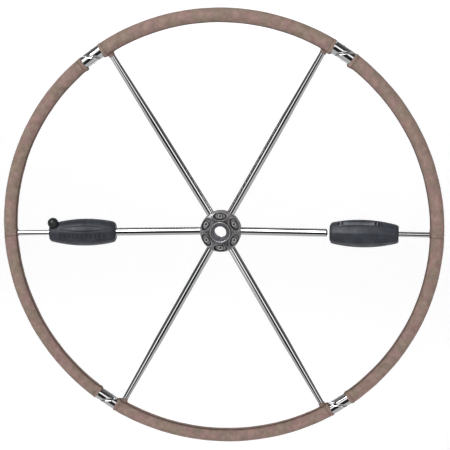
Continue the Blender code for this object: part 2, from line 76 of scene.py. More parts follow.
DIAGONALS = {
    "upper_right": radians(60), "upper_left": radians(120),
    "lower_left": radians(240), "lower_right": radians(300),
}
SPOKE_TILT = atan2(DISH, RIM_RADIUS)
SPOKE_RADIUS = 0.0086
SPOKE_WALL = 0.0015
SPOKE_ROOT = 0.0236
SPOKE_TAPER_START = 0.272
SPOKE_SHOULDER = 0.300
SPOKE_SHOULDER_RADIUS = 0.0078
SPOKE_TIP_RADIUS = 0.0059
SPOKE_END = (RIM_RADIUS - TUBE_RADIUS - 0.0009) / cos(SPOKE_TILT)

HUB_RADIUS = 0.043
HUB_SPLIT = -0.0015
HUB_FRONT = -0.019
HUB_BACK = 0.013
SLEEVE_RADIUS = 0.022
SLEEVE_LIP = -0.0205
SLEEVE_FACE = -0.0193
SLEEVE_BACK = 0.0135
BORE_RADIUS = 0.0127
BORE_LENGTH = 0.026
BORE_TAPER = 1 / 24
COUNTERBORE_RADIUS = 0.0165
KEYWAY_WIDTH = 0.0052
KEYWAY_DEPTH = 0.003
SCREW_CIRCLE = 0.0337
SCREW_COUNT = 6
SCREW_HEAD_RADIUS = 0.005
SCREW_HEAD_HEIGHT = 0.0052
SCREW_SHANK_RADIUS = 0.003
SCREW_TIP = 0.009
SCREW_SOCKET_RADIUS = 0.0027
SCREW_SOCKET_DEPTH = 0.003
POCKET_FLOOR = -0.0115
POCKET_HALF_LENGTH = 0.0135
POCKET_HALF_WIDTH = 0.0075

ROD_RADIUS = 0.0056
ROD_START = 0.2694
ROD_STOP_RADIUS = 0.008
ROD_STOP_LENGTH = 0.006
GRIP_START = {"left": 0.2214, "right": 0.2280}
GRIP_LENGTH = 0.1395
GRIP_MAX_RADIUS = 0.0285
GRIP_CROWN = 0.46
GRIP_FALL = 0.0355
SLEEVE_TUBE_RADIUS = 0.012
SLEEVE_TUBE_LENGTH = 0.1335
SLEEVE_BORE = 0.006
CHAMBER_RADIUS = 0.0084
CHAMBER_END = 0.060
FLANGE_RADIUS = 0.017
FLANGE_LENGTH = 0.006
END_RING_RADIUS = 0.0145
END_RING_LENGTH = 0.0045
SOCKET_SEAT_RADIUS = 0.0115
SOCKET_SEAT_DEPTH = 0.0048
SOCKET_RADIUS = 0.0112
SOCKET_FLANGE = 0.0045
SOCKET_NECK = 0.0081
SOCKET_END = 0.0068
NOSE_DEPTH = 0.0026
NOSE_RADIUS = 0.0038
NOSE_MOUTH = 0.0092

BALL_STATION = 0.1301
BALL_HEIGHT = 0.0262
BALL_ANGLE = radians(61)
KNOB_RADIUS = 0.0112
SCOOP_RADIUS = 0.0119
STEM_RADIUS = 0.0022
STEM_START = 0.0126
STEM_END = 0.0197

BAR_ANGLE = radians(64)
BAR_HALF_WIDTH = 0.0045
BAR_START = 0.0195
BAR_END = 0.0995
BAR_LUG = 0.008
BAR_FLOOR = 0.0178
BAR_LUG_TOP = 0.0212
BAR_TOP = 0.0262
SLOT_FLOOR = 0.015
SLOT_MARGIN = 0.001
SLOT_HALF_WIDTH = 0.005
BAR_PIN_RADIUS = 0.0016
BAR_PIN_HEIGHT = 0.0232
BAR_PIN_STATIONS = {"inner": 0.0225, "outer": 0.0965}

# ---------------- sizes of the fine surface
LEATHER_STEP = 0.0024
LEATHER_FLAT_STEP = 0.0022
SEAM_ANGLE = radians(180 + 22)
SEAM_OFFSETS = (0.0004, 0.0008, 0.0013, 0.0019, 0.0027, 0.0038, 0.0052)
# (height, distance, width) of the leather's soft ridges. A groove's height is negative.
SEAM_GROOVE = (-0.0012, 0.0, 0.00075)
SEAM_LIP = (0.00040, 0.0021, 0.0010)
HEM_ROLL = (0.00055, 0.003, 0.0028)
HEM_GROOVE = (-0.00045, 0.007, 0.0012)
BUTT_GROOVE = (-0.0006, 0.0, 0.0012)
BUTT_ROLL = (0.0004, 0.0032, 0.0018)
BOSS_ROLL = (0.0010, 0.0075, 0.0032)
PUCKER_DEPTH = 0.00030
HEM_TUFT = 0.0021
STITCH_PITCH = 0.0058
THREAD_RADIUS = 0.00038
COVER_RADIUS = LEATHER_RADIUS - 0.0002
COVER_BORE_STEP = 0.012
# (inset, sink) where a cover's edge turns in: rolled at a hem, close at a butt seam.
EDGE_TURNS = {
    "hem": [(0.00045, 0.00012), (0.00012, 0.0004), (0.0, 0.0009)],
    "butt": [(0.0004, 0.00004), (0.0001, 0.0001), (0.0, 0.0002)],
}
STITCH_REACH = 0.0026
STITCH_LEAN = 0.0013
STITCH_MARGIN = 0.004
STITCH_CLEARANCE = 0.0105
KNUCKLE_EDGE = 0.0034
KNUCKLE_STEP = 0.0007
KNUCKLE_END = 0.0219
CAP_SIDES = 420
CROWN_START = 0.029
CROWN_POWER = 2.4
HUB_SHOULDER = -0.013
HUB_CAP_LIP = -0.009
HUB_BACK_SHOULDER = (0.0090, 0.0120)
HUB_BACK_RADII = (0.0410, 0.0380)
STAIN_PLACE = (0.013, 0.037)
STAIN_SIZE = 0.015
GROOVE_DEPTH = 0.0018
GROOVE_WIDTH = 0.0016
POCKET_FOOT = 0.84
POCKET_WALL = 0.26
TUFT_LENGTH = 0.0032
TUFT_WIDTH = 0.0048
COLLAR_LENGTH = 0.0080
ROD_COLLAR_LENGTH = 0.0022

GRIP_SIDES = 176
GRIP_STEP = 0.0012
SHELL_START = 0.0015
GRIP_END_LENGTH = 0.0058
GRIP_END_DEPTH = 0.0024
FACET_COUNT = 8
FACET_EDGE = radians(11.6)
PANEL_CENTRE = 0.0641
PANEL_HALF_LENGTH = 0.0495
PANEL_ANGLE = radians(27)
PANEL_HALF_WIDTH = 0.0054
BAR_PIN_SEAT = 0.0012
RELIEF_WIDTH = 0.0044
RELIEF_FLOOR = 0.0188
RIB_COUNT = 11
RIB_FIRST = 0.018
RIB_LAST = 0.118
RIB_ANGLE = radians(-7)
RIB_HALF_WIDTH = 0.0052
RIB_DEPTH = 0.0013

# ---------------- camera and light
CAMERA_AZIMUTH = radians(6.134)
CAMERA_ELEVATION = radians(11.647)
CAMERA_ROLL = radians(-0.970)
CAMERA_DISTANCE = 2.0428
CAMERA_LENS = 77.74
CAMERA_SHIFT = (0.0088, 0.0125)
SENSOR_WIDTH = 36
FLOOR_DROP = 0.30
FLOOR_FRONT = -6.0
FLOOR_BACK = 4.0
FLOOR_BEND = 1.2
FLOOR_RISE = 7.0
FLOOR_HALF_WIDTH = 9
FLOOR_WHITE = 0.92
FLOOR_GLOW = 0.30
DARK_AXIS = (0.05, -0.99, -0.10)


# ---------------- materials
def configured(target, **settings):
    """Sets the target's attributes and gives it back."""
    for name, value in settings.items():
        setattr(target, name, value)
    return target


class Nodes:
    """Short calls for the nodes of a tree."""

    def __init__(self, tree, place=None):
        self.tree = tree
        self.place = place

    def node(self, kind, inputs=None, **settings):
        """A node with its settings made and its inputs linked or set."""
        made = configured(self.tree.nodes.new(kind), **settings)
        for name, value in (inputs or {}).items():
            if isinstance(value, bpy.types.NodeSocket):
                self.tree.links.new(value, made.inputs[name])
            else:
                made.inputs[name].default_value = value
        return made

    def noise(self, scale, detail=3.0, roughness=0.5, place=None, distortion=0.0):
        return self.node("ShaderNodeTexNoise", {
            "Vector": place or self.place, "Scale": scale, "Detail": detail,
            "Roughness": roughness, "Distortion": distortion}).outputs["Fac"]

    def ramp(self, factor, *stops):
        """A colour ramp through (position, colour) stops."""
        made = self.node("ShaderNodeValToRGB", {"Fac": factor})
        elements = made.color_ramp.elements
        while len(elements) < len(stops):
            elements.new(0.5)
        for element, (position, colour) in zip(elements, stops):
            element.position = position
            element.color = (*colour, 1) if isinstance(colour, tuple) else (colour, colour, colour, 1)
        return made.outputs["Color"]

    def mix(self, factor, first, second, blend="MIX"):
        """A colour mix. Factor, first and second are sockets or plain values."""
        first, second = (
            (*value, 1) if isinstance(value, tuple) else value for value in (first, second))
        inputs = {0: factor, 6: first, 7: second}
        return self.node("ShaderNodeMix", inputs, data_type="RGBA", blend_type=blend).outputs[2]

    def map(self, value, low, high, to_low=0.0, to_high=1.0, **settings):
        return self.node("ShaderNodeMapRange", {
            "Value": value, "From Min": low, "From Max": high,
            "To Min": to_low, "To Max": to_high}, **settings).outputs["Result"]


class Recipe(Nodes):
    """A Principled material. The shader's plain values are given by their names."""

    def __init__(self, name, **values):
        self.material = bpy.data.materials.new(name)
        self.material.use_nodes = True
        super().__init__(self.material.node_tree)
        self.shader = self.tree.nodes["Principled BSDF"]
        for value_name, value in values.items():
            self.shader.inputs[value_name.replace("_", " ")].default_value = value
        self.place = self.node("ShaderNodeTexCoord").outputs["Object"]

    def stretched(self, scale):
        """The piece's own coordinates, scaled along each axis."""
        return self.node("ShaderNodeMapping", {"Vector": self.place, "Scale": scale}).outputs["Vector"]

    def attribute(self, name):
        return self.node("ShaderNodeAttribute", attribute_name=name).outputs["Fac"]

    def bump(self, height, distance, strength=1.0, under=None):
        inputs = {"Height": height, "Distance": distance, "Strength": strength}
        if under:
            inputs["Normal"] = under
        return self.node("ShaderNodeBump", inputs).outputs["Normal"]

    def finish(self, colour=None, roughness=None, normal=None):
        for source, name in ((colour, "Base Color"), (roughness, "Roughness"), (normal, "Normal")):
            if source:
                self.tree.links.new(source, self.shader.inputs[name])
        return self.material


SUEDE_HUES = (
    (0.36, (0.213, 0.162, 0.127)), (0.50, (0.230, 0.160, 0.135)), (0.64, (0.251, 0.161, 0.146)))
# The colour of the painted shade in the leather's folds, seams and hems.
CREASE_SHADE_COLOUR = (0.022, 0.013, 0.011)


def leather_material(name, tint=1.0):
    """Suede, mottled from pinkish to greenish brown, with painted shade darkening its folds, seams and
    hems.
    """
    recipe = Recipe(
        name, Roughness=0.88, Sheen_Weight=0.05, Sheen_Roughness=0.5, Specular_IOR_Level=0.2)
    patches = recipe.noise(38, detail=3, roughness=0.55)
    hue = recipe.ramp(patches, *(
        (position, tuple(value * tint for value in colour)) for position, colour in SUEDE_HUES))
    blotches = recipe.ramp(recipe.noise(95, detail=4, roughness=0.6), (0.32, 0.78), (0.68, 1.14))
    mottled = recipe.mix(1.0, hue, blotches, "MULTIPLY")
    nap = recipe.noise(1500, detail=3, roughness=0.7)
    napped = recipe.mix(1.0, mottled, recipe.ramp(nap, (0.3, 0.86), (0.7, 1.10)), "MULTIPLY")
    # Painted shade: the leather darkens towards this colour by each point's painted-shade mark.
    crease_shaded = recipe.mix(recipe.attribute("crease_shade"), napped, CREASE_SHADE_COLOUR)
    fold = recipe.bump(recipe.noise(170, detail=3), 0.0006, 0.5)
    grain = recipe.bump(nap, 0.0003, 0.7, under=fold)
    return recipe.finish(crease_shaded, recipe.ramp(blotches, (0.2, 0.80), (0.9, 0.95)), grain)


def thread_material():
    recipe = Recipe("waxed_thread", Roughness=0.6)
    ply = recipe.noise(2600, detail=1, place=recipe.stretched((1, 1, 0.3)))
    colour = recipe.ramp(ply, (0.3, (0.030, 0.018, 0.015)), (0.7, (0.085, 0.055, 0.045)))
    return recipe.finish(colour, None, recipe.bump(ply, 0.0002, 0.8))


def steel_material(name, polish, lines, tone=0.80):
    """Stainless steel: its polish is a roughness, its lines run round or along the piece."""
    recipe = Recipe(name, Metallic=1.0)
    drawn = recipe.noise(1.0, detail=4, roughness=0.65, place=recipe.stretched(lines))
    haze = recipe.noise(60, detail=3)
    dull = tuple(tone * share for share in (0.95, 0.955, 0.965))
    colour = recipe.ramp(haze, (0.3, dull), (0.7, tone))
    rough = recipe.map(drawn, 0.3, 0.7, polish * 0.7, polish * 1.5)
    return recipe.finish(colour, rough, recipe.bump(drawn, 0.00002, 0.08))


def cast_material(name, dark, light, polish):
    """Dark cast steel: grainy, with painted shade in its recesses, painted light on its pocket floors,
    edges bright with wear, and brown stains.
    """
    recipe = Recipe(name, Metallic=0.6)
    grain = recipe.noise(420, detail=5, roughness=0.65)
    cloud = recipe.noise(75, detail=4, roughness=0.55, distortion=0.6)
    between = tuple((low + high) / 2 for low, high in zip(dark, light))
    base = recipe.ramp(cloud, (0.34, dark), (0.52, between), (0.70, light))
    stains = recipe.map(recipe.noise(38, detail=2), 0.58, 0.72, to_high=0.7)
    stained = recipe.mix(stains, base, (0.085, 0.060, 0.045))
    browned = recipe.mix(recipe.attribute("stain"), stained, (0.105, 0.078, 0.062))
    # Painted light on the pocket floors, together with wear that brightens the edges.
    brightened = recipe.mix(recipe.attribute("wear_and_highlight"), browned, (0.50, 0.50, 0.51))
    # Painted shade: near black on the pocket walls, in the groove round the sleeve, round the screw heads
    # and in their sockets.
    shaded = recipe.mix(recipe.attribute("recess_shade"), brightened, (0.012, 0.012, 0.016))
    rough = recipe.map(cloud, 0.3, 0.7, polish * 1.5, polish * 0.75)
    under = recipe.bump(cloud, 0.0008, 0.5)
    return recipe.finish(shaded, rough, recipe.bump(grain, 0.00025, 0.6, under=under))


def plastic_material(name, colour, polish, grain_scale, grain_depth):
    """Moulded plastic with a fine grain, slightly paler from the wear of hands, with painted shade in its
    grooves.
    """
    recipe = Recipe(name, Specular_IOR_Level=0.35)
    grain = recipe.noise(grain_scale, detail=3, roughness=0.6)
    lightness = recipe.noise(55, detail=4, roughness=0.6)
    pale = tuple(value * 1.45 + 0.004 for value in colour)
    deep, shaded = (tuple(value * share for value in colour) for share in (0.75, 0.25))
    shade = recipe.ramp(lightness, (0.33, deep), (0.50, colour), (0.70, pale))
    # Painted shade in the left grip's grooves and along its panel's edge.
    groove_shaded = recipe.mix(recipe.attribute("groove"), shade, shaded)
    rough = recipe.map(lightness, 0.3, 0.7, polish * 1.12, polish * 0.82)
    return recipe.finish(groove_shaded, rough, recipe.bump(grain, grain_depth, 0.7))


# Each finish's material, and the slot that it belongs to.
FINISHES = {
    "leather": (leather_material("suede_cover"), "leather"),
    "collar": (leather_material("suede_collar", tint=0.82), "leather"),
    "thread": (thread_material(), "leather"),
    "mirror": (steel_material("mirror_steel", 0.045, (260, 260, 5)), "stainless"),
    "drawn": (steel_material("drawn_steel", 0.09, (900, 900, 12), tone=0.88), "stainless"),
    "turned": (steel_material("turned_steel", 0.12, (30, 30, 2400)), "stainless"),
    "satin": (steel_material("satin_steel", 0.34, (30, 30, 2400), tone=0.86), "stainless"),
    "cast": (cast_material("cast_steel", (0.022, 0.022, 0.028), (0.34, 0.34, 0.35), 0.32), "cast_steel"),
    "sleeve": (
        cast_material("machined_sleeve", (0.080, 0.080, 0.094), (0.17, 0.17, 0.19), 0.36), "cast_steel"),
    "screw": (cast_material("screw_steel", (0.36, 0.36, 0.36), (0.66, 0.66, 0.66), 0.26), "cast_steel"),
    "grip": (plastic_material("grip_rubber", (0.025, 0.028, 0.037), 0.48, 1300, 0.00014), "grip_plastic"),
    "bar": (plastic_material("bar_rubber", (0.110, 0.114, 0.135), 0.40, 1300, 0.00012), "grip_plastic"),
    "knob": (
        plastic_material("knob_plastic", (0.014, 0.017, 0.017), 0.36, 900, 0.00005), "black_plastic"),
}


# ---------------- mesh helpers
def loft(rings, wrap=False):
    """A skin over rings of points. A ring of one point closes that end; wrap joins last to first."""
    bm = bmesh.new()
    made = [[bm.verts.new(point) for point in ring] for ring in rings]
    pairs = list(zip(made, made[1:]))
    if wrap:
        pairs.append((made[-1], made[0]))
    for first, second in pairs:
        count = max(len(first), len(second))
        for index in range(count):
            following = (index + 1) % count
            corners = [
                first[index % len(first)], first[following % len(first)],
                second[following % len(second)], second[index % len(second)],
            ]
            bm.faces.new(list(dict.fromkeys(corners)))
    bmesh.ops.recalc_face_normals(bm, faces=bm.faces)
    return bm


def as_mesh(name, bm):
    """A mesh from a bmesh, shaded smooth. It uses the bmesh up."""
    mesh = bpy.data.meshes.new(name)
    bm.to_mesh(mesh)
    bm.free()
    mesh.shade_smooth()
    return mesh


def placed(name, data, start=(0, 0, 0), direction=None):
    """A new object in the scene, with its local +Z along direction."""
    made = configured(bpy.data.objects.new(name, data), location=start)
    bpy.context.collection.objects.link(made)
    if direction is not None:
        made.rotation_euler = Vector(direction).to_track_quat("Z", "Y").to_euler()
    return made


def add_piece(name, bm, finish, start=(0, 0, 0), direction=None, sharp=32):
    """An object from a bmesh, with its finish's material."""
    material, slot = FINISHES[finish]
    mesh = as_mesh(name, bm)
    mesh.set_sharp_from_angle(angle=radians(sharp))
    mesh.materials.append(material)
    piece = placed(name, mesh, start, direction)
    return piece


def carry(piece, body, *nodes):
    """The piece rides on its body and stands for the CAD nodes."""
    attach(piece, body)
    if nodes:
        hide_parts(*nodes)
    return piece


def eased(profile, fillet, closed, steps=4):
    """The profile with each corner rounded. An open profile keeps its two ends."""
    points = [Vector(point) for point in profile]
    if fillet == 0:
        return points
    count = len(points)
    made = []
    for index, corner in enumerate(points):
        if not closed and index in (0, count - 1):
            made.append(corner)
            continue
        before = points[index - 1] - corner
        after = points[(index + 1) % count] - corner
        reach = min(fillet, before.length * 0.45, after.length * 0.45)
        first = corner + before.normalized() * reach
        last = corner + after.normalized() * reach
        for step in range(steps + 1):
            part = step / steps
            made.append(first * (1 - part) ** 2 + corner * 2 * part * (1 - part) + last * part ** 2)
    return made


def turned(profile, sides=64, fillet=0.0004, closed=None):
    """A solid turned about +Z from (height, radius) points, with its corners eased."""
    if closed is None:
        closed = profile[0][1] > 0
    rings = []
    for height, radius in eased(profile, fillet, closed):
        if radius < 1e-7:
            rings.append([(0, 0, height)])
            continue
        rings.append([
            (radius * cos(turn), radius * sin(turn), height) for turn in circle(sides)])
    return loft(rings, wrap=closed)


def circle(count):
    """Evenly spaced angles all the way round."""
    return [tau * index / count for index in range(count)]


def mark(piece, name, values):
    """Writes one number for each point, which the piece's material reads by the name."""
    piece.data.attributes.new(name, "FLOAT", "POINT").data.foreach_set("value", values)


def rod(start, end, radius):
    return [(start, 0), (start, radius), (end, radius), (end, 0)]


def turned_piece(
        name, profile, finish, body, node, start=(0, 0, 0), direction=None, level=False, **shape):
    """A turned piece that rides on its body and stands for its CAD node, if it has one."""
    piece = add_piece(name, turned(profile, **shape), finish, start, direction)
    if level:
        level_shading(piece)
    return carry(piece, body, *([node] if node else []))


def cut(piece, bm, start=(0, 0, 0), direction=None):
    """Cuts a closed mesh out of the piece, for good."""
    bmesh.ops.recalc_face_normals(bm, faces=bm.faces)
    mesh = as_mesh("cutter", bm)
    cutter = placed("cutter", mesh, start, direction)
    modifier = piece.modifiers.new("cut", "BOOLEAN")
    configured(modifier, operation="DIFFERENCE", solver="EXACT", object=cutter)
    settle(piece)
    bpy.data.objects.remove(cutter)
    bpy.data.meshes.remove(mesh)


def settle(piece):
    """Applies the piece's modifiers to its mesh."""
    bpy.context.view_layer.update()
    evaluated = piece.evaluated_get(bpy.context.evaluated_depsgraph_get())
    old = piece.data
    piece.data = bpy.data.meshes.new_from_object(evaluated)
    piece.data.name = piece.name
    piece.modifiers.clear()
    bpy.data.meshes.remove(old)


def soften(piece, width, segments=3, angle=30):
    """Rounds the piece's hard edges, for good, and shades it smooth again."""
    configured(
        piece.modifiers.new("soften", "BEVEL"), width=width, segments=segments, limit_method="ANGLE",
        angle_limit=radians(angle), use_clamp_overlap=True, harden_normals=False)
    settle(piece)
    piece.data.shade_smooth()
    piece.data.set_sharp_from_angle(angle=radians(50))


def level_shading(piece):
    """Keeps broad flat faces flat where they meet narrow rounded edges."""
    piece.modifiers.new("level_shading", "WEIGHTED_NORMAL").keep_sharp = True


# ---------------- places
def rim_point(angle, radius, section_angle, along=0.0):
    """A point on the rim's section, moved along the rim by a length."""
    turn = angle + along / RIM_RADIUS
    reach = RIM_RADIUS + radius * cos(section_angle)
    return Vector((reach * cos(turn), -DISH + radius * sin(section_angle), reach * sin(turn)))


def spoke_direction(angle):
    level = cos(SPOKE_TILT)
    return Vector((level * cos(angle), -sin(SPOKE_TILT), level * sin(angle)))


def side_direction(side):
    return spoke_direction(0 if SIDES[side] > 0 else pi)


def front_direction(side):
    return Vector((-SIDES[side] * sin(SPOKE_TILT), -cos(SPOKE_TILT), 0))


def radial_direction(side, angle):
    return front_direction(side) * cos(angle) + UP * sin(angle)


def grip_place(side, station, height=0.0, angle=0.0):
    along = side_direction(side) * (GRIP_START[side] + station)
    return along + radial_direction(side, angle) * height


def hill(distance, width):
    """A smooth bump that is 1 at distance 0 and fades over width."""
    return exp(-(distance / width) ** 2)


def ridge(distance, shape):
    """The height at a distance from where a (height, distance, width) ridge is measured."""
    height, place, width = shape
    return height * hill(distance - place, width)


# ---------------- leather
def section_angles():
    """Angles round the rim's section, close together at the seam, which faces the hub."""
    near = [offset / LEATHER_RADIUS for offset in SEAM_OFFSETS]
    rest = tau - 2 * near[-1]
    steps = ceil(rest * LEATHER_RADIUS / LEATHER_FLAT_STEP)
    wide = [near[-1] + rest * step / steps for step in range(1, steps)]
    offsets = [0.0, *near, *wide, *[tau - offset for offset in reversed(near)]]
    return [SEAM_ANGLE + offset for offset in offsets]


def turn_from(angle, origin):
    """The turn from origin to angle, within half a turn either way."""
    return (angle - origin + pi) % tau - pi


def seam_distance(section_angle, origin=SEAM_ANGLE):
    """How far round the section a point lies from the seam, or from another angle."""
    return abs(turn_from(section_angle, origin)) * LEATHER_RADIUS


def cover_relief(point, along, length, section_angle, ends, bosses):
    """The leather's height over its plain radius, and how much painted shade darkens it there."""
    seam = seam_distance(section_angle)
    relief = noise.noise(point * 24) * 0.00040 + noise.noise(point * 75) * 0.00018
    relief += ridge(seam, SEAM_GROOVE)
    relief += ridge(seam, SEAM_LIP)
    relief -= PUCKER_DEPTH * hill(seam, 0.0045) * (0.5 + 0.5 * cos(tau * along / STITCH_PITCH))
    # Painted shade along the seam; the hems, butt seams and bosses add their own painted shade below.
    crease_shade = max(hill(seam, 0.0010), 0.35 * hill(seam, 0.0024))
    for edge, kind in ((along, ends[0]), (length - along, ends[1])):
        if kind == "hem":
            relief += ridge(edge, HEM_ROLL) + ridge(edge, HEM_GROOVE)
            relief += HEM_TUFT * hill(seam, 0.0062) * hill(edge - 0.004, 0.0065)
            relief += 0.0004 * hill(edge, 0.004) * noise.noise(point * 160)
            tuck = 0.85 * hill(seam, 0.0022) * hill(edge, 0.004)
            crease_shade = max(crease_shade, 0.42 * hill(edge - HEM_GROOVE[1], 0.0008), tuck)
        else:
            relief += ridge(edge, BUTT_GROOVE)
            relief += ridge(edge, BUTT_ROLL)
            relief -= 0.0006 * hill(edge, 0.012) * (0.5 + 0.5 * cos(section_angle * 9))
            crease_shade = max(crease_shade, 0.38 * hill(edge, 0.0011))
    for boss in bosses:
        across = seam_distance(section_angle, pi)
        away = hypot(along - boss, across)
        relief += ridge(away, BOSS_ROLL)
        relief += 0.0004 * hill(away, 0.018) * cos(8 * atan2(along - boss, across + 1e-6))
        crease_shade = max(crease_shade, 0.75 * hill(away - 0.0080, 0.0012))
    return relief, min(crease_shade, 1.0)


def build_cover(name, start, end, ends, bosses, body, node):
    """One leather cover, sewn along the side that faces the hub.

    start and end are rim angles; ends says hem or butt for each; bosses are the angles where
    a spoke or a rod goes through.
    """
    turn = 1 if end > start else -1
    length = abs(end - start) * RIM_RADIUS
    boss_places = [abs(boss - start) * RIM_RADIUS for boss in bosses]
    around = section_angles()
    rings = []
    crease_shades = []

    def ring(along, tuck, sink):
        """One section. tuck moves it past the end at the seam; sink lowers it to turn the edge."""
        points = []
        shades = []
        for section in around:
            past = tuck * TUFT_LENGTH * max(0.0, 1 - seam_distance(section) / TUFT_WIDTH) ** 1.4
            angle = start + turn * (along + past) / RIM_RADIUS
            plain = rim_point(angle, LEATHER_RADIUS, section)
            relief, crease_shade = cover_relief(plain, along, length, section, ends, boss_places)
            points.append(rim_point(angle, COVER_RADIUS + relief - sink, section))
            shades.append(crease_shade)
        rings.append(points)
        crease_shades.append(shades)

    steps = ceil(length / LEATHER_STEP)
    stations = [(0.0, inset, sink) for inset, sink in reversed(EDGE_TURNS[ends[0]])]
    stations += [(length * index / steps, length * index / steps, 0.0) for index in range(1, steps)]
    stations += [(length, length - inset, sink) for inset, sink in EDGE_TURNS[ends[1]]]
    pull, push = (float(kind == "hem") for kind in ends)
    for station, along, sink in stations:
        tuck = push * hill(length - station, 0.004) - pull * hill(station, 0.004)
        ring(along, tuck, sink)
    inner = TUBE_RADIUS + GAP
    inner_steps = ceil(length / COVER_BORE_STEP)
    for index in range(inner_steps + 1):
        along = length - 0.0004 - (length - 0.0008) * index / inner_steps
        angle = start + turn * along / RIM_RADIUS
        rings.append([rim_point(angle, inner, section) for section in around])
        # The hidden inner face gets painted shade as well.
        crease_shades.append([0.6] * len(around))
    piece = add_piece(name, loft(rings, wrap=True), "leather", sharp=60)
    mark(piece, "crease_shade", [value for shades in crease_shades for value in shades])
    carry(piece, body, node)
    build_stitches(f"{name}_stitches", start, turn, length, boss_places, body)


def build_stitches(name, start, turn, length, bosses, body):
    """Slanting stitches across the seam, one every pitch, left out where a spoke goes through."""
    bm = bmesh.new()
    span = length - 2 * STITCH_MARGIN
    count = int(span / STITCH_PITCH)
    for index in range(count):
        centre = STITCH_MARGIN + span * (index + 0.5) / count
        if any(abs(centre - boss) < STITCH_CLEARANCE for boss in bosses):
            continue
        for lean in (-1, 1):
            path = []
            for step in range(7):
                part = step / 3 - 1
                angle = start + turn * (centre + lean * part * STITCH_LEAN) / RIM_RADIUS
                height = COVER_RADIUS + 0.0002 * (1 - part * part) - 0.0011 * abs(part) ** 6
                path.append(rim_point(angle, height, SEAM_ANGLE + part * STITCH_REACH / LEATHER_RADIUS))
            add_strand(bm, path, THREAD_RADIUS)
    bmesh.ops.recalc_face_normals(bm, faces=bm.faces)
    carry(add_piece(name, bm, "thread", sharp=80), body)


def add_strand(bm, path, radius, sides=6):
    """A short closed strand of thread along the path."""
    rings = []
    for index, point in enumerate(path):
        ahead = path[min(index + 1, len(path) - 1)] - path[max(index - 1, 0)]
        across = ahead.cross(BACK).normalized()
        other = ahead.cross(across).normalized()
        rings.append([
            bm.verts.new(point + (across * cos(turn) + other * sin(turn)) * radius)
            for turn in circle(sides)])
    for first, second in zip(rings, rings[1:]):
        for side in range(sides):
            following = (side + 1) % sides
            bm.faces.new((first[side], first[following], second[following], second[side]))
    bm.faces.new(rings[0])
    bm.faces.new(rings[-1])


def build_leather():
    trim = LEATHER_END / RIM_RADIUS
    for place, turn in (("top", 1), ("bottom", -1)):
        first = turn * (HINGE_ANGLE + trim)
        last = turn * (pi - HINGE_ANGLE - trim)
        bosses = [turn * DIAGONALS["upper_right"], turn * DIAGONALS["upper_left"]]
        build_cover(
            f"cover_{place}", first, last, ("hem", "hem"), bosses, "wheel_centre", f"leather_{place}")
    seam = -COVER_SEAM_DROP / RIM_RADIUS
    end = HINGE_ANGLE - trim
    for side, outward in SIDES.items():
        for half, first, last in (("upper", seam, end), ("lower", seam, -end)):
            if outward < 0:
                first, last = pi - first, pi - last
            rod_angle = 0.0 if outward > 0 else pi
            bosses = [rod_angle] if half == "upper" else []
            build_cover(
                f"cover_{side}_{half}", first, last, ("butt", "hem"), bosses, f"side_{side}",
                f"leather_{side}_{half}")


def build_collars():
    """Short leather collars round the spokes and rods where they enter the rim."""
    for name, angle in DIAGONALS.items():
        direction = spoke_direction(angle)
        add_collar(f"collar_{name}", direction, SPOKE_TIP_RADIUS, COLLAR_LENGTH, "wheel_centre")
    for side in SIDES:
        add_collar(f"collar_{side}", side_direction(side), ROD_RADIUS, ROD_COLLAR_LENGTH, f"side_{side}")


def add_collar(name, direction, inner, length, body):
    base = SPOKE_END + 0.0004
    lip = base - length
    bore = inner + 0.00012
    profile = [
        (lip, bore), (lip, inner + 0.0005), (lip + length * 0.30, inner + 0.0007),
        (lip + length * 0.62, inner + 0.0009), (base - length * 0.16, inner + 0.0015),
        (base, inner + 0.0029), (base, bore),
    ]
    bm = turned(profile, sides=56, fillet=0.0009)
    for vertex in bm.verts:
        out = Vector((vertex.co.x, vertex.co.y, 0))
        if out.length > inner + 0.0005:
            turn = atan2(out.y, out.x)
            ripple = 0.00014 * sin(turn * 9 + vertex.co.z * 900) + 0.0003 * noise.noise(vertex.co * 210)
            vertex.co += out.normalized() * ripple
    piece = add_piece(name, bm, "collar", direction=direction, sharp=70)
    heights = [vertex.co.z for vertex in piece.data.vertices]
    # Painted shade where the collar meets the rim and at its lip.
    mark(piece, "crease_shade", [
        0.75 * hill(height - base, length * 0.16) + 0.35 * hill(height - lip, 0.0005)
        for height in heights])
    carry(piece, body)


# ---------------- steel
def build_rim_tubes():
    trim = LEATHER_END / RIM_RADIUS
    spans = {
        "top": (HINGE_ANGLE + trim, pi - HINGE_ANGLE - trim),
        "bottom": (-HINGE_ANGLE - trim, -pi + HINGE_ANGLE + trim),
        "right": (trim - HINGE_ANGLE, HINGE_ANGLE - trim),
        "left": (pi - HINGE_ANGLE + trim, pi + HINGE_ANGLE - trim),
    }
    for place, (start, end) in spans.items():
        steps = ceil(abs(end - start) / radians(2))
        rings = []
        for radius, order in ((TUBE_RADIUS, 1), (TUBE_RADIUS - TUBE_WALL, -1)):
            for step in range(steps + 1)[::order]:
                angle = start + (end - start) * step / steps
                rings.append([rim_point(angle, radius, section) for section in circle(48)])
        body = f"side_{place}" if place in SIDES else "wheel_centre"
        steel = add_piece(f"rim_steel_{place}", loft(rings, wrap=True), "mirror")
        carry(steel, body, f"rim_tube_{place}")


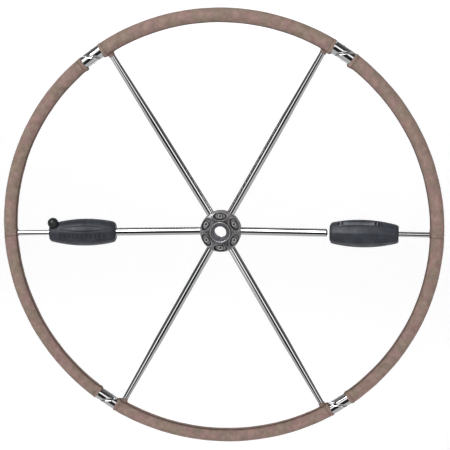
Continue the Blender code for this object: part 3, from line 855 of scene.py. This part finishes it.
def build_spokes():
    outline = [
        (SPOKE_ROOT, SPOKE_RADIUS), (SPOKE_TAPER_START, SPOKE_RADIUS),
        (SPOKE_SHOULDER, SPOKE_SHOULDER_RADIUS), (SPOKE_END, SPOKE_TIP_RADIUS),
    ]
    inside = [(height, radius - SPOKE_WALL) for height, radius in reversed(outline)]
    for name, angle in DIAGONALS.items():
        turned_piece(
            f"spoke_steel_{name}", outline + inside, "mirror", "wheel_centre", f"spoke_{name}",
            direction=spoke_direction(angle), fillet=0.006)
    shoulder = GRIP_START["left"] - GAP
    tip = shoulder + 0.0022
    bore = SPOKE_RADIUS - SPOKE_WALL
    for side in SIDES:
        profile = [
            (tip, 0), (tip, 0.0034), (shoulder, SPOKE_RADIUS), (SPOKE_ROOT, SPOKE_RADIUS),
            (SPOKE_ROOT, bore), (shoulder - 0.003, bore), (shoulder - 0.003, 0),
        ]
        turned_piece(
            f"inner_steel_{side}", profile, "mirror", "wheel_centre", f"inner_spoke_{side}",
            direction=side_direction(side), level=True, closed=False, fillet=0.0006)


def build_rods():
    for side in SIDES:
        direction = side_direction(side)
        stop_end = ROD_START + ROD_STOP_LENGTH
        turned_piece(
            f"rod_steel_{side}", rod(stop_end + GAP, SPOKE_END, ROD_RADIUS), "drawn", f"side_{side}",
            f"outer_rod_{side}", direction=direction)
        turned_piece(
            f"stop_steel_{side}", rod(ROD_START, stop_end, ROD_STOP_RADIUS), "turned", f"side_{side}",
            f"rod_stop_{side}", direction=direction, fillet=0.001)


def cut_circle(radius, level, fillet):
    """(across, up) points of a circle cut off below a level, with its two corners rounded."""
    if level < -0.985 * radius:
        foot = radians(10)
        low = [-pi / 2 + foot * step / 8 for step in range(9)]
        arc = [-pi / 2 + foot + (tau - 2 * foot) * step / 64 for step in range(1, 64)]
        back = [3 * pi / 2 - foot + foot * step / 17 for step in range(17)]
        return [(radius * cos(turn), radius * sin(turn)) for turn in low + arc + back]
    fillet = min(fillet, (radius - level) / 2)
    height = level + fillet
    across = sqrt(max((radius - fillet) ** 2 - height ** 2, 1e-12))
    lean = atan2(height, across)
    points = []
    for step in range(9):
        turn = -pi / 2 + (lean + pi / 2) * step / 8
        points.append((across + fillet * cos(turn), height + fillet * sin(turn)))
    for step in range(1, 64):
        turn = lean + (pi - 2 * lean) * step / 64
        points.append((radius * cos(turn), radius * sin(turn)))
    points += [(-x, y) for x, y in reversed(points[:9])]
    points += [(-across + 2 * across * step / 9, level) for step in range(1, 9)]
    return points


def build_knuckle(name, centre, towards, keep, body, node):
    """Half of a hinge: a polished tube end cut off level, its cut edges well rounded."""
    up = towards.cross(BACK)
    if up.z * keep < 0:
        up = -up
    slope = towards.z * keep / (up.z * keep)
    tip = -(KNUCKLE_RADIUS - 0.0004) / slope
    end = KNUCKLE_END
    steps = ceil((end - tip) / KNUCKLE_STEP)
    stations = [tip + (end - 0.0004 - tip) * step / steps for step in range(steps + 1)]

    def section(station, radius, level):
        outline = cut_circle(radius, level, KNUCKLE_EDGE)
        return [towards * station + BACK * x + up * y for x, y in outline]

    rings = [
        section(station, KNUCKLE_RADIUS, GAP / 2 / (up.z * keep) - station * slope)
        for station in stations]
    for station, radius in ((end - 0.0001, KNUCKLE_RADIUS - 0.0001), (end, KNUCKLE_RADIUS - 0.0004)):
        rings.append(section(station, radius, -radius))
    point = sum(rings[0], Vector()) / len(rings[0]) - towards * 0.0003
    rings.insert(0, [point])
    rings.append([towards * end])
    piece = add_piece(name, loft(rings), "mirror", start=centre, sharp=40)
    level_shading(piece)
    carry(piece, body, node)
    spigot = rod(end - 0.002, KNUCKLE_HALF_LENGTH + SPIGOT_LENGTH, SPIGOT_RADIUS)
    turned_piece(f"{name}_spigot", spigot, "turned", body, None, centre, towards)


def build_hinges():
    for side, outward in SIDES.items():
        for place, upward in (("upper", 1), ("lower", -1)):
            label = f"{place}_{side}"
            centre = Vector((
                outward * RIM_RADIUS * cos(HINGE_ANGLE), -DISH,
                upward * RIM_RADIUS * sin(HINGE_ANGLE)))
            to_fixed = Vector((-outward * sin(HINGE_ANGLE), 0, upward * cos(HINGE_ANGLE)))
            for kind, turn, body in (("fixed", 1, "wheel_centre"), ("moving", -1, f"side_{side}")):
                build_knuckle(
                    f"knuckle_{kind}_{label}", centre, to_fixed * turn, upward * turn, body,
                    f"hinge_{kind}_{label}")
            pin = rod(-HINGE_PIN_HALF_LENGTH, HINGE_PIN_HALF_LENGTH, HINGE_PIN_RADIUS)
            turned_piece(
                f"pin_steel_{label}", pin, "turned", "wheel_centre", f"hinge_pin_{label}", centre,
                level=True, sides=40, fillet=0.0008)


# ---------------- hub
def screw_place(index):
    angle = radians(30) + tau * index / SCREW_COUNT
    return angle, Vector((SCREW_CIRCLE * cos(angle), 0, SCREW_CIRCLE * sin(angle)))


def pocket_edge(x, z):
    """How far out a point of the hub's face lies from the nearest pocket's centre. Its rim is 1."""
    nearest = 9.0
    for index in range(SCREW_COUNT):
        angle = screw_place(index)[0]
        radial = x * cos(angle) + z * sin(angle) - SCREW_CIRCLE
        tangent = z * cos(angle) - x * sin(angle)
        nearest = min(nearest, hypot(radial / POCKET_HALF_WIDTH, tangent / POCKET_HALF_LENGTH))
    return nearest


def cap_height(x, z):
    """The y of the cap's front: flat in the middle, crowned to the edge, with six oval pockets."""
    radius = hypot(x, z)
    part = min(max((radius - CROWN_START) / (HUB_RADIUS - CROWN_START), 0.0), 1.0)
    drop = 1 - (1 - part ** CROWN_POWER) ** (1 / CROWN_POWER)
    face = HUB_FRONT + drop * (HUB_SHOULDER - HUB_FRONT)
    face += GROOVE_DEPTH * smooth((SLEEVE_RADIUS + GROOVE_WIDTH - radius) / GROOVE_WIDTH)
    wall = smooth((pocket_edge(x, z) - POCKET_FOOT) / POCKET_WALL)
    return max(POCKET_FLOOR, face) * (1 - wall) + face * wall


def mark_casting(piece):
    """Painted shade in the pockets' corners, the sleeve's groove and round the screw heads, painted light
    on the pocket floors, edges bright with wear, and a brown stain.
    """
    marks = []
    seats = [screw_place(number)[1] for number in range(SCREW_COUNT)]
    for vertex in piece.data.vertices:
        place = piece.matrix_world @ vertex.co
        radius = hypot(place.x, place.z)
        edge = pocket_edge(place.x, place.z)
        front = smooth((HUB_CAP_LIP - place.y) / 0.002)
        groove = hill(radius - SLEEVE_RADIUS - 0.0004, 0.0013)
        away = min(hypot(place.x - seat.x, place.z - seat.z) for seat in seats)
        ring = 0.9 * hill(away - SCREW_HEAD_RADIUS - 0.0003, 0.0009)
        # Painted light on the pocket floors; wear on the pocket lips and the hub's outer edge.
        lightness = max(
            0.85 * smooth((0.86 - edge) / 0.14), 0.6 * hill(edge - 1.16, 0.06),
            0.5 * hill(radius - 0.0415, 0.0012))
        # Each point's painted shade, its painted light with wear, and its stain.
        marks.append((
            front * max(0.95 * hill(edge - 0.94, 0.13), 0.9 * groove, ring), front * lightness,
            0.75 * hill(hypot(place.x - STAIN_PLACE[0], place.z - STAIN_PLACE[1]), STAIN_SIZE)))
    for name, values in zip(("recess_shade", "wear_and_highlight", "stain"), zip(*marks)):
        mark(piece, name, values)


def build_hub():
    seat = SLEEVE_RADIUS + GAP
    split = HUB_SPLIT - GAP / 2
    turns = circle(CAP_SIDES)
    reaches = [seat + (CROWN_START - seat) * step / 16 for step in range(16)]
    for step in range(41):
        reaches.append(CROWN_START + (HUB_RADIUS - CROWN_START) * sin(pi / 2 * step / 40))
    rings = []
    for reach in reaches:
        flat = [(reach * cos(turn), reach * sin(turn)) for turn in turns]
        rings.append([(x, cap_height(x, z), z) for x, z in flat])
    for reach, y in ((HUB_RADIUS, HUB_CAP_LIP), (HUB_RADIUS, -0.005), (HUB_RADIUS, split), (seat, split)):
        rings.append([(reach * cos(turn), y, reach * sin(turn)) for turn in turns])
    front = add_piece("hub_cap_casting", loft(rings, wrap=True), "cast", sharp=50)
    back = add_piece("hub_body_casting", turned([
        (HUB_SPLIT + GAP / 2, seat), (HUB_SPLIT + GAP / 2, HUB_RADIUS),
        (HUB_BACK_SHOULDER[0], HUB_RADIUS), (HUB_BACK_SHOULDER[1], HUB_BACK_RADII[0]),
        (HUB_BACK, HUB_BACK_RADII[1]), (HUB_BACK, seat),
    ], sides=120, fillet=0.0012), "cast", direction=BACK)
    for index in range(6):
        direction = spoke_direction(radians(60) * index)
        for casting in (front, back):
            channel = turned(rod(SPOKE_ROOT - GAP, HUB_RADIUS + 0.02, SPOKE_RADIUS + GAP), fillet=0.0)
            cut(casting, channel, direction=direction)
    soften(back, 0.0007, segments=3, angle=32)
    front.data.shade_smooth()
    front.data.set_sharp_from_angle(angle=radians(50))
    for casting, node in ((front, "hub_front_cap"), (back, "hub_body")):
        mark_casting(casting)
        carry(casting, "wheel_centre", node)
    build_sleeve_ring()
    build_screws()


def build_sleeve_ring():
    """The keyed sleeve, with a bright raised lip round its dark flat face."""
    bore_back = SLEEVE_FACE + BORE_LENGTH
    sleeve = add_piece("hub_sleeve_ring", turned([
        (SLEEVE_LIP, SLEEVE_RADIUS), (SLEEVE_LIP, SLEEVE_RADIUS - 0.0020),
        (SLEEVE_FACE, SLEEVE_RADIUS - 0.0024), (SLEEVE_FACE, BORE_RADIUS),
        (bore_back, BORE_RADIUS + BORE_LENGTH * BORE_TAPER), (bore_back, COUNTERBORE_RADIUS),
        (SLEEVE_BACK, COUNTERBORE_RADIUS), (SLEEVE_BACK, SLEEVE_RADIUS),
    ], sides=120, fillet=0.0005), "sleeve", direction=BACK)
    keyway = bmesh.new()
    depth = KEYWAY_DEPTH + BORE_RADIUS * 0.2
    bmesh.ops.create_cube(keyway, size=1, matrix=Matrix.Diagonal((KEYWAY_WIDTH, 0.06, depth, 1)))
    cut(sleeve, keyway, (0, 0, -BORE_RADIUS * 0.8 - depth / 2))
    soften(sleeve, 0.0003, segments=2, angle=40)
    sleeve.data.materials.append(FINISHES["satin"][0])
    for face in sleeve.data.polygons:
        middle = sleeve.matrix_world @ face.center
        if middle.y < SLEEVE_FACE - 0.0002 and hypot(middle.x, middle.z) > SLEEVE_RADIUS - 0.0024:
            face.material_index = 1
    carry(sleeve, "wheel_centre", "hub_sleeve")


def build_screws():
    for index in range(SCREW_COUNT):
        centre = screw_place(index)[1]
        seat = POCKET_FLOOR - GAP
        top = seat - SCREW_HEAD_HEIGHT
        screw = add_piece(f"socket_screw_{index + 1}", turned([
            (top, 0), (top, SCREW_HEAD_RADIUS - 0.0006), (top + 0.0006, SCREW_HEAD_RADIUS),
            (seat, SCREW_HEAD_RADIUS), (seat, SCREW_SHANK_RADIUS), (SCREW_TIP, SCREW_SHANK_RADIUS),
            (SCREW_TIP, 0),
        ], sides=48, fillet=0.0003), "screw", centre, BACK)
        socket = rod(top - 0.002, top + SCREW_SOCKET_DEPTH, SCREW_SOCKET_RADIUS)
        hexagon = turned(socket, sides=6, fillet=0.0)
        hexagon.transform(Matrix.Rotation(radians(17 * index), 4, "Z"))
        cut(screw, hexagon, centre, BACK)
        soften(screw, 0.0002, segments=2, angle=35)
        # Painted shade inside the hex socket.
        mark(screw, "recess_shade", [
            0.95 * (hypot(x, y) < SCREW_SOCKET_RADIUS and z > top + 0.0006)
            for x, y, z in (vertex.co for vertex in screw.data.vertices)])
        carry(screw, "wheel_centre", f"hub_screw_{index + 1}")


# ---------------- grips
def grip_radius(station):
    return GRIP_MAX_RADIUS - GRIP_FALL * (station / GRIP_LENGTH - GRIP_CROWN) ** 2


def end_round(edge):
    """How far the barrel's end has rounded in, at a distance from the end."""
    part = max(0.0, 1 - edge / GRIP_END_LENGTH)
    return GRIP_END_DEPTH * (1 - sqrt(1 - part * part))


def facets(angle, amount):
    """A share of the way from a circle to a polygon, as a factor on the radius."""
    part = (angle - FACET_EDGE) % (tau / FACET_COUNT) - pi / FACET_COUNT
    return 1 + amount * (cos(pi / FACET_COUNT) / cos(part) - 1)


def smooth(value):
    value = min(max(value, 0.0), 1.0)
    return value * value * (3 - 2 * value)


def left_relief(station, angle, radius):
    """The almond panel and the row of grooves under it, on the left grip's front.

    Gives the height over the plain barrel, and how much painted shade darkens the grooves and the panel's
    edge.
    """
    across = turn_from(angle, PANEL_ANGLE)
    part = (station - PANEL_CENTRE) / PANEL_HALF_LENGTH
    relief = 0.0
    shade = 0.0
    if abs(part) < 1:
        width = PANEL_HALF_WIDTH * (1 - part * part) ** 0.8 + 0.0002
        inside = abs(across) * radius / width
        relief += 0.0010 * smooth((1.12 - inside) / 0.24) - 0.0005 * hill(inside - 1.35, 0.22)
        # Painted shade along the panel's edge.
        shade = 0.5 * hill(inside - 1.22, 0.16) * smooth((1 - abs(part)) * 6)
    across = turn_from(angle, RIB_ANGLE)
    pitch = (RIB_LAST - RIB_FIRST) / RIB_COUNT
    if RIB_FIRST < station < RIB_LAST:
        beat = (station - RIB_FIRST) % pitch - pitch / 2
        groove = hill(beat, pitch * 0.20) * smooth((RIB_HALF_WIDTH - abs(across) * radius) / 0.0012)
        relief -= RIB_DEPTH * groove
        shade = max(shade, 0.75 * groove)
    return relief, shade


def paint_groove_shade(piece):
    """Paints shade into the left grip's grooves, from each point's place on the barrel."""
    front = front_direction("left")
    along = side_direction("left")
    marks = []
    for vertex in piece.data.vertices:
        up, out = vertex.co.dot(UP), vertex.co.dot(front)
        radius = hypot(up, out)
        outside = radius > SLEEVE_TUBE_RADIUS + 0.004
        marks.append(left_relief(vertex.co.dot(along), atan2(up, out), radius)[1] if outside else 0.0)
    mark(piece, "groove", marks)


def build_grip_shell(side):
    bore = SLEEVE_TUBE_RADIUS + 2 * GAP
    flange_seat = FLANGE_RADIUS + 2 * GAP
    ring_seat = END_RING_RADIUS + GAP
    steps = ceil((GRIP_LENGTH - SHELL_START) / GRIP_STEP)
    stations = [SHELL_START + (GRIP_LENGTH - SHELL_START) * step / steps for step in range(steps + 1)]
    near_ends = [SHELL_START + 0.0002, SHELL_START + 0.0006, GRIP_LENGTH - 0.0006, GRIP_LENGTH - 0.0002]
    stations = sorted(stations + near_ends)
    along = side_direction(side)
    rings = []
    turns = [(turn, radial_direction(side, turn)) for turn in circle(GRIP_SIDES)]
    for station in stations:
        ring = []
        for turn, out in turns:
            radius = grip_radius(station)
            notch = 0.0
            if side == "left":
                notch = 0.0005 * hill(station - SHELL_START, 0.005) * (0.5 + 0.5 * cos(turn * 14))
                radius = radius * facets(turn, 0.30) + left_relief(station, turn, radius)[0]
            else:
                radius *= facets(turn, 0.62)
            radius -= end_round(min(station - SHELL_START, GRIP_LENGTH - station)) + notch
            ring.append(along * station + out * radius)
        rings.append(ring)
    inside = [
        (GRIP_LENGTH, ring_seat), (SLEEVE_TUBE_LENGTH, ring_seat), (SLEEVE_TUBE_LENGTH, bore),
        (FLANGE_LENGTH + GAP, bore), (FLANGE_LENGTH + GAP, flange_seat), (SHELL_START, flange_seat),
    ]
    for station, radius in inside:
        rings.append([along * station + out * radius for _, out in turns])
    return add_piece(f"grip_barrel_{side}", loft(rings, wrap=True), "grip", grip_place(side, 0), sharp=50)


def build_left_grip():
    shell = build_grip_shell("left")
    out = radial_direction("left", BALL_ANGLE)
    foot = grip_place("left", BALL_STATION)
    scoop = bmesh.new()
    bmesh.ops.create_uvsphere(scoop, u_segments=48, v_segments=32, radius=SCOOP_RADIUS)
    cut(shell, scoop, foot + out * BALL_HEIGHT, out)
    cut(shell, turned(rod(0.009, BALL_HEIGHT, STEM_RADIUS + GAP), sides=24, fillet=0.0), foot, out)
    soften(shell, 0.0005, segments=2, angle=42)
    paint_groove_shade(shell)
    carry(shell, "grip_left", "grip_shell_left")

    socket = STEM_RADIUS + GAP
    start = asin(socket / KNOB_RADIUS)
    floor = BALL_HEIGHT - KNOB_RADIUS * cos(start) + 0.004
    profile = [(floor, 0), (floor, socket)]
    steps = 28
    for index in range(steps + 1):
        angle = start + (pi - start) * index / steps
        flash = 0.00010 * hill(angle - pi / 2, 0.03)
        reach = BALL_HEIGHT - KNOB_RADIUS * cos(angle)
        profile.append((reach, (KNOB_RADIUS + flash) * sin(angle) if index < steps else 0))
    sphere = turned(profile, fillet=0.0, closed=False)
    sphere.transform(out.to_track_quat("Z", "Y").to_matrix().to_4x4())
    ball = add_piece("release_knob", sphere, "knob", foot, sharp=60)
    carry(ball, "plunger_left", "release_ball_left")
    turned_piece(
        "release_stem", rod(STEM_START, STEM_END, STEM_RADIUS), "turned", "plunger_left",
        "release_stem_left", foot, out, sides=32)


def build_right_grip():
    shell = build_grip_shell("right")
    along = side_direction("right")
    out = radial_direction("right", BAR_ANGLE)
    across = out.cross(along)
    axes = Matrix((along, across, out)).transposed().to_4x4()
    start = grip_place("right", 0)
    low, high = BAR_START - SLOT_MARGIN, BAR_END + SLOT_MARGIN
    top = GRIP_MAX_RADIUS + 0.01
    slot = slab(low, high, SLOT_HALF_WIDTH, SLOT_FLOOR, top)
    relief = slab(low + BAR_LUG, high - BAR_LUG, RELIEF_WIDTH / 2, RELIEF_FLOOR, top)
    relief.transform(Matrix.Translation((0, 0.0005 - SLOT_HALF_WIDTH - RELIEF_WIDTH / 2, 0)))
    for opening in (slot, relief):
        opening.transform(axes)
        cut(shell, opening, start)
    for place, station in BAR_PIN_STATIONS.items():
        centre = grip_place("right", station, BAR_PIN_HEIGHT, BAR_ANGLE)
        reach = SLOT_HALF_WIDTH + BAR_PIN_SEAT
        hole = turned(rod(-reach - GAP, reach + GAP, BAR_PIN_RADIUS + GAP), sides=24, fillet=0.0)
        cut(shell, hole, centre, across)
        turned_piece(
            f"bar_pin_steel_{place}", rod(-reach, reach, BAR_PIN_RADIUS), "satin", "grip_right",
            f"bar_pin_{place}_right", centre, across, sides=32)
    soften(shell, 0.0005, segments=2, angle=42)
    carry(shell, "grip_right", "grip_shell_right")

    outline = [
        (BAR_START, BAR_FLOOR), (BAR_END, BAR_FLOOR), (BAR_END, BAR_LUG_TOP),
        (BAR_END - BAR_LUG, BAR_LUG_TOP), (BAR_END - BAR_LUG, BAR_TOP),
        (BAR_START + BAR_LUG, BAR_TOP), (BAR_START + BAR_LUG, BAR_LUG_TOP), (BAR_START, BAR_LUG_TOP),
    ]
    bm = extruded(outline, BAR_HALF_WIDTH)
    bm.transform(axes)
    bar = add_piece("press_bar", bm, "bar", start)
    soften(bar, 0.0009, segments=4, angle=30)
    level_shading(bar)
    carry(bar, "bar_right", "press_bar_right")


def extruded(outline, half_width):
    """A solid from a side outline of (along, up) points, half_width to each side."""
    bm = bmesh.new()
    face = bm.faces.new([bm.verts.new((along, -half_width, up)) for along, up in outline])
    pushed = bmesh.ops.extrude_face_region(bm, geom=[face])
    moved = [item for item in pushed["geom"] if isinstance(item, bmesh.types.BMVert)]
    bmesh.ops.translate(bm, vec=(0, 2 * half_width, 0), verts=moved)
    bmesh.ops.recalc_face_normals(bm, faces=bm.faces)
    return bm


def slab(start, end, half_width, floor, top):
    return extruded([(start, floor), (end, floor), (end, top), (start, top)], half_width)


def build_sleeves():
    """The dark plastic inside each grip: the sliding sleeve, its nose socket and the end ring."""
    ring_start = SLEEVE_TUBE_LENGTH + GAP
    ring_end = ring_start + END_RING_LENGTH
    parts = {
        "slide_sleeve": ("grip_sleeve", 0.0006, [
            (0, SOCKET_SEAT_RADIUS), (0, FLANGE_RADIUS), (FLANGE_LENGTH, FLANGE_RADIUS),
            (FLANGE_LENGTH, SLEEVE_TUBE_RADIUS), (SLEEVE_TUBE_LENGTH, SLEEVE_TUBE_RADIUS),
            (SLEEVE_TUBE_LENGTH, SLEEVE_BORE), (CHAMBER_END, SLEEVE_BORE), (CHAMBER_END, CHAMBER_RADIUS),
            (SOCKET_SEAT_DEPTH, CHAMBER_RADIUS), (SOCKET_SEAT_DEPTH, SOCKET_SEAT_RADIUS)]),
        "spoke_socket": ("nose_socket", 0.0003, [
            (NOSE_DEPTH, 0), (NOSE_DEPTH, NOSE_RADIUS), (0, NOSE_MOUTH), (0, SOCKET_RADIUS),
            (SOCKET_FLANGE, SOCKET_RADIUS), (SOCKET_FLANGE, SOCKET_NECK), (SOCKET_END, SOCKET_NECK),
            (SOCKET_END, 0)]),
        "end_ring": ("grip_ring", 0.0009, [
            (ring_start, SLEEVE_BORE), (ring_start, END_RING_RADIUS), (ring_end, END_RING_RADIUS),
            (ring_end, SLEEVE_BORE)]),
    }
    for side in SIDES:
        for name, (node, fillet, profile) in parts.items():
            turned_piece(
                f"{name}_{side}", profile, "knob", f"sleeve_{side}", f"{node}_{side}",
                grip_place(side, 0), side_direction(side), level=True, fillet=fillet)


# ---------------- stage
def camera_axes():
    """The camera's right, up and backward directions before its roll."""
    level = cos(CAMERA_ELEVATION)
    backward = Vector((
        level * sin(CAMERA_AZIMUTH), -level * cos(CAMERA_AZIMUTH), sin(CAMERA_ELEVATION)))
    right = UP.cross(backward).normalized()
    return right, backward.cross(right), backward


def build_camera():
    right, up, backward = camera_axes()
    rolled_right = right * cos(CAMERA_ROLL) + up * sin(CAMERA_ROLL)
    rolled_up = up * cos(CAMERA_ROLL) - right * sin(CAMERA_ROLL)
    lens = configured(
        bpy.data.cameras.new("camera"), sensor_width=SENSOR_WIDTH, lens=CAMERA_LENS,
        shift_x=CAMERA_SHIFT[0], shift_y=CAMERA_SHIFT[1])
    camera = placed("camera", lens)
    turn = Matrix((rolled_right, rolled_up, backward)).transposed().to_4x4()
    camera.matrix_world = Matrix.Translation(backward * CAMERA_DISTANCE) @ turn
    bpy.context.scene.camera = camera


def build_floor():
    """A plain white sweep under and behind the wheel."""
    low = cad_box[0][2] - FLOOR_DROP
    profile = [(FLOOR_FRONT, low), (FLOOR_BACK, low)]
    steps = 12
    for step in range(1, steps + 1):
        angle = pi / 2 * step / steps
        profile.append((FLOOR_BACK + FLOOR_BEND * sin(angle), low + FLOOR_BEND * (1 - cos(angle))))
    profile.append((FLOOR_BACK + FLOOR_BEND, low + FLOOR_RISE))
    bm = bmesh.new()
    rows = [[bm.verts.new((x, y, z)) for x in (-FLOOR_HALF_WIDTH, FLOOR_HALF_WIDTH)] for y, z in profile]
    for first, second in zip(rows, rows[1:]):
        bm.faces.new((first[0], first[1], second[1], second[0]))
    floor = placed("floor", as_mesh("floor", bm))
    white = Recipe(
        "white_sweep", Roughness=0.9, Base_Color=(FLOOR_WHITE, FLOOR_WHITE, FLOOR_WHITE, 1),
        Emission_Color=(1, 1, 1, 1), Emission_Strength=FLOOR_GLOW)
    floor.data.materials.append(white.material)
    floor.visible_glossy = False


def add_softbox(name, place, size, power, mirrored=False):
    light = configured(
        bpy.data.lights.new(name, "AREA"), shape="RECTANGLE", size=size[0], size_y=size[1], energy=power)
    placed(name, light, place, place).visible_glossy = mirrored


def build_world():
    """White for the camera, and a studio with a dark camera side for what the steel reflects."""
    world = bpy.data.worlds.new("studio")
    bpy.context.scene.world = world
    world.use_nodes = True
    world.node_tree.nodes.clear()
    nodes = Nodes(world.node_tree)
    direction = nodes.node("ShaderNodeTexCoord").outputs["Generated"]

    def number(operation, *values):
        return nodes.node("ShaderNodeMath", dict(enumerate(values)), operation=operation).outputs[0]

    def lean(axis):
        """The cosine of the angle between the direction and an axis."""
        inputs = {0: direction, 1: axis}
        return nodes.node("ShaderNodeVectorMath", inputs, operation="DOT_PRODUCT").outputs["Value"]

    def share(axis):
        """The angle off an axis, as a share of a half turn."""
        return number("DIVIDE", number("ARCCOSINE", lean(axis)), pi)

    def levels(factor, *stops):
        """Brightness through (degrees off the axis, level) stops."""
        return nodes.ramp(factor, *(
            (degrees / 180, (level, level, level * 1.01)) for degrees, level in stops))

    def background(colour):
        return nodes.node("ShaderNodeBackground", {"Color": colour}).outputs[0]

    def either(factor, first, second):
        return nodes.node("ShaderNodeMixShader", {0: factor, 1: first, 2: second}).outputs[0]

    ripple = nodes.noise(2.6, place=direction)
    wander = number("MULTIPLY", number("SUBTRACT", ripple, 0.5), 0.03)
    away = number("ADD", share(Vector(DARK_AXIS).normalized()), wander)
    above = levels(
        away, (0, 0.02), (21, 0.02), (25, 1.25), (42, 1.25), (47, 0.04), (92, 0.07), (112, 0.16),
        (140, 0.24), (156, 0.7))
    below = levels(away, (0, 0.02), (32, 0.02), (37, 0.52), (104, 0.50), (112, 1.0))
    front = levels(share(camera_axes()[2]), (0, 0.62), (50, 0.56), (80, 0.30), (110, 0.14), (180, 0.10))
    blend = nodes.map(lean(UP), -0.35, -0.15, interpolation_type="SMOOTHSTEP")
    studio = nodes.mix(blend, below, above)
    path = nodes.node("ShaderNodeLightPath").outputs
    lit = either(path["Is Glossy Ray"], background(front), background(studio))
    seen = either(path["Is Camera Ray"], lit, background((1, 1, 1, 1)))
    nodes.node("ShaderNodeOutputWorld", {"Surface": seen})


def build_stage():
    build_camera()
    build_floor()
    build_world()
    add_softbox("key_light", place=(-1.1, -2.2, 2.5), size=(2.4, 1.8), power=97, mirrored=True)
    add_softbox("fill_light", place=(2.4, -2.4, 0.4), size=(1.8, 1.8), power=16)
    bpy.context.scene.view_settings.view_transform = "Standard"


# ---------------- the whole wheel
build_leather()
build_collars()
build_rim_tubes()
build_spokes()
build_rods()
build_hinges()
build_hub()
build_left_grip()
build_right_grip()
build_sleeves()
build_stage()
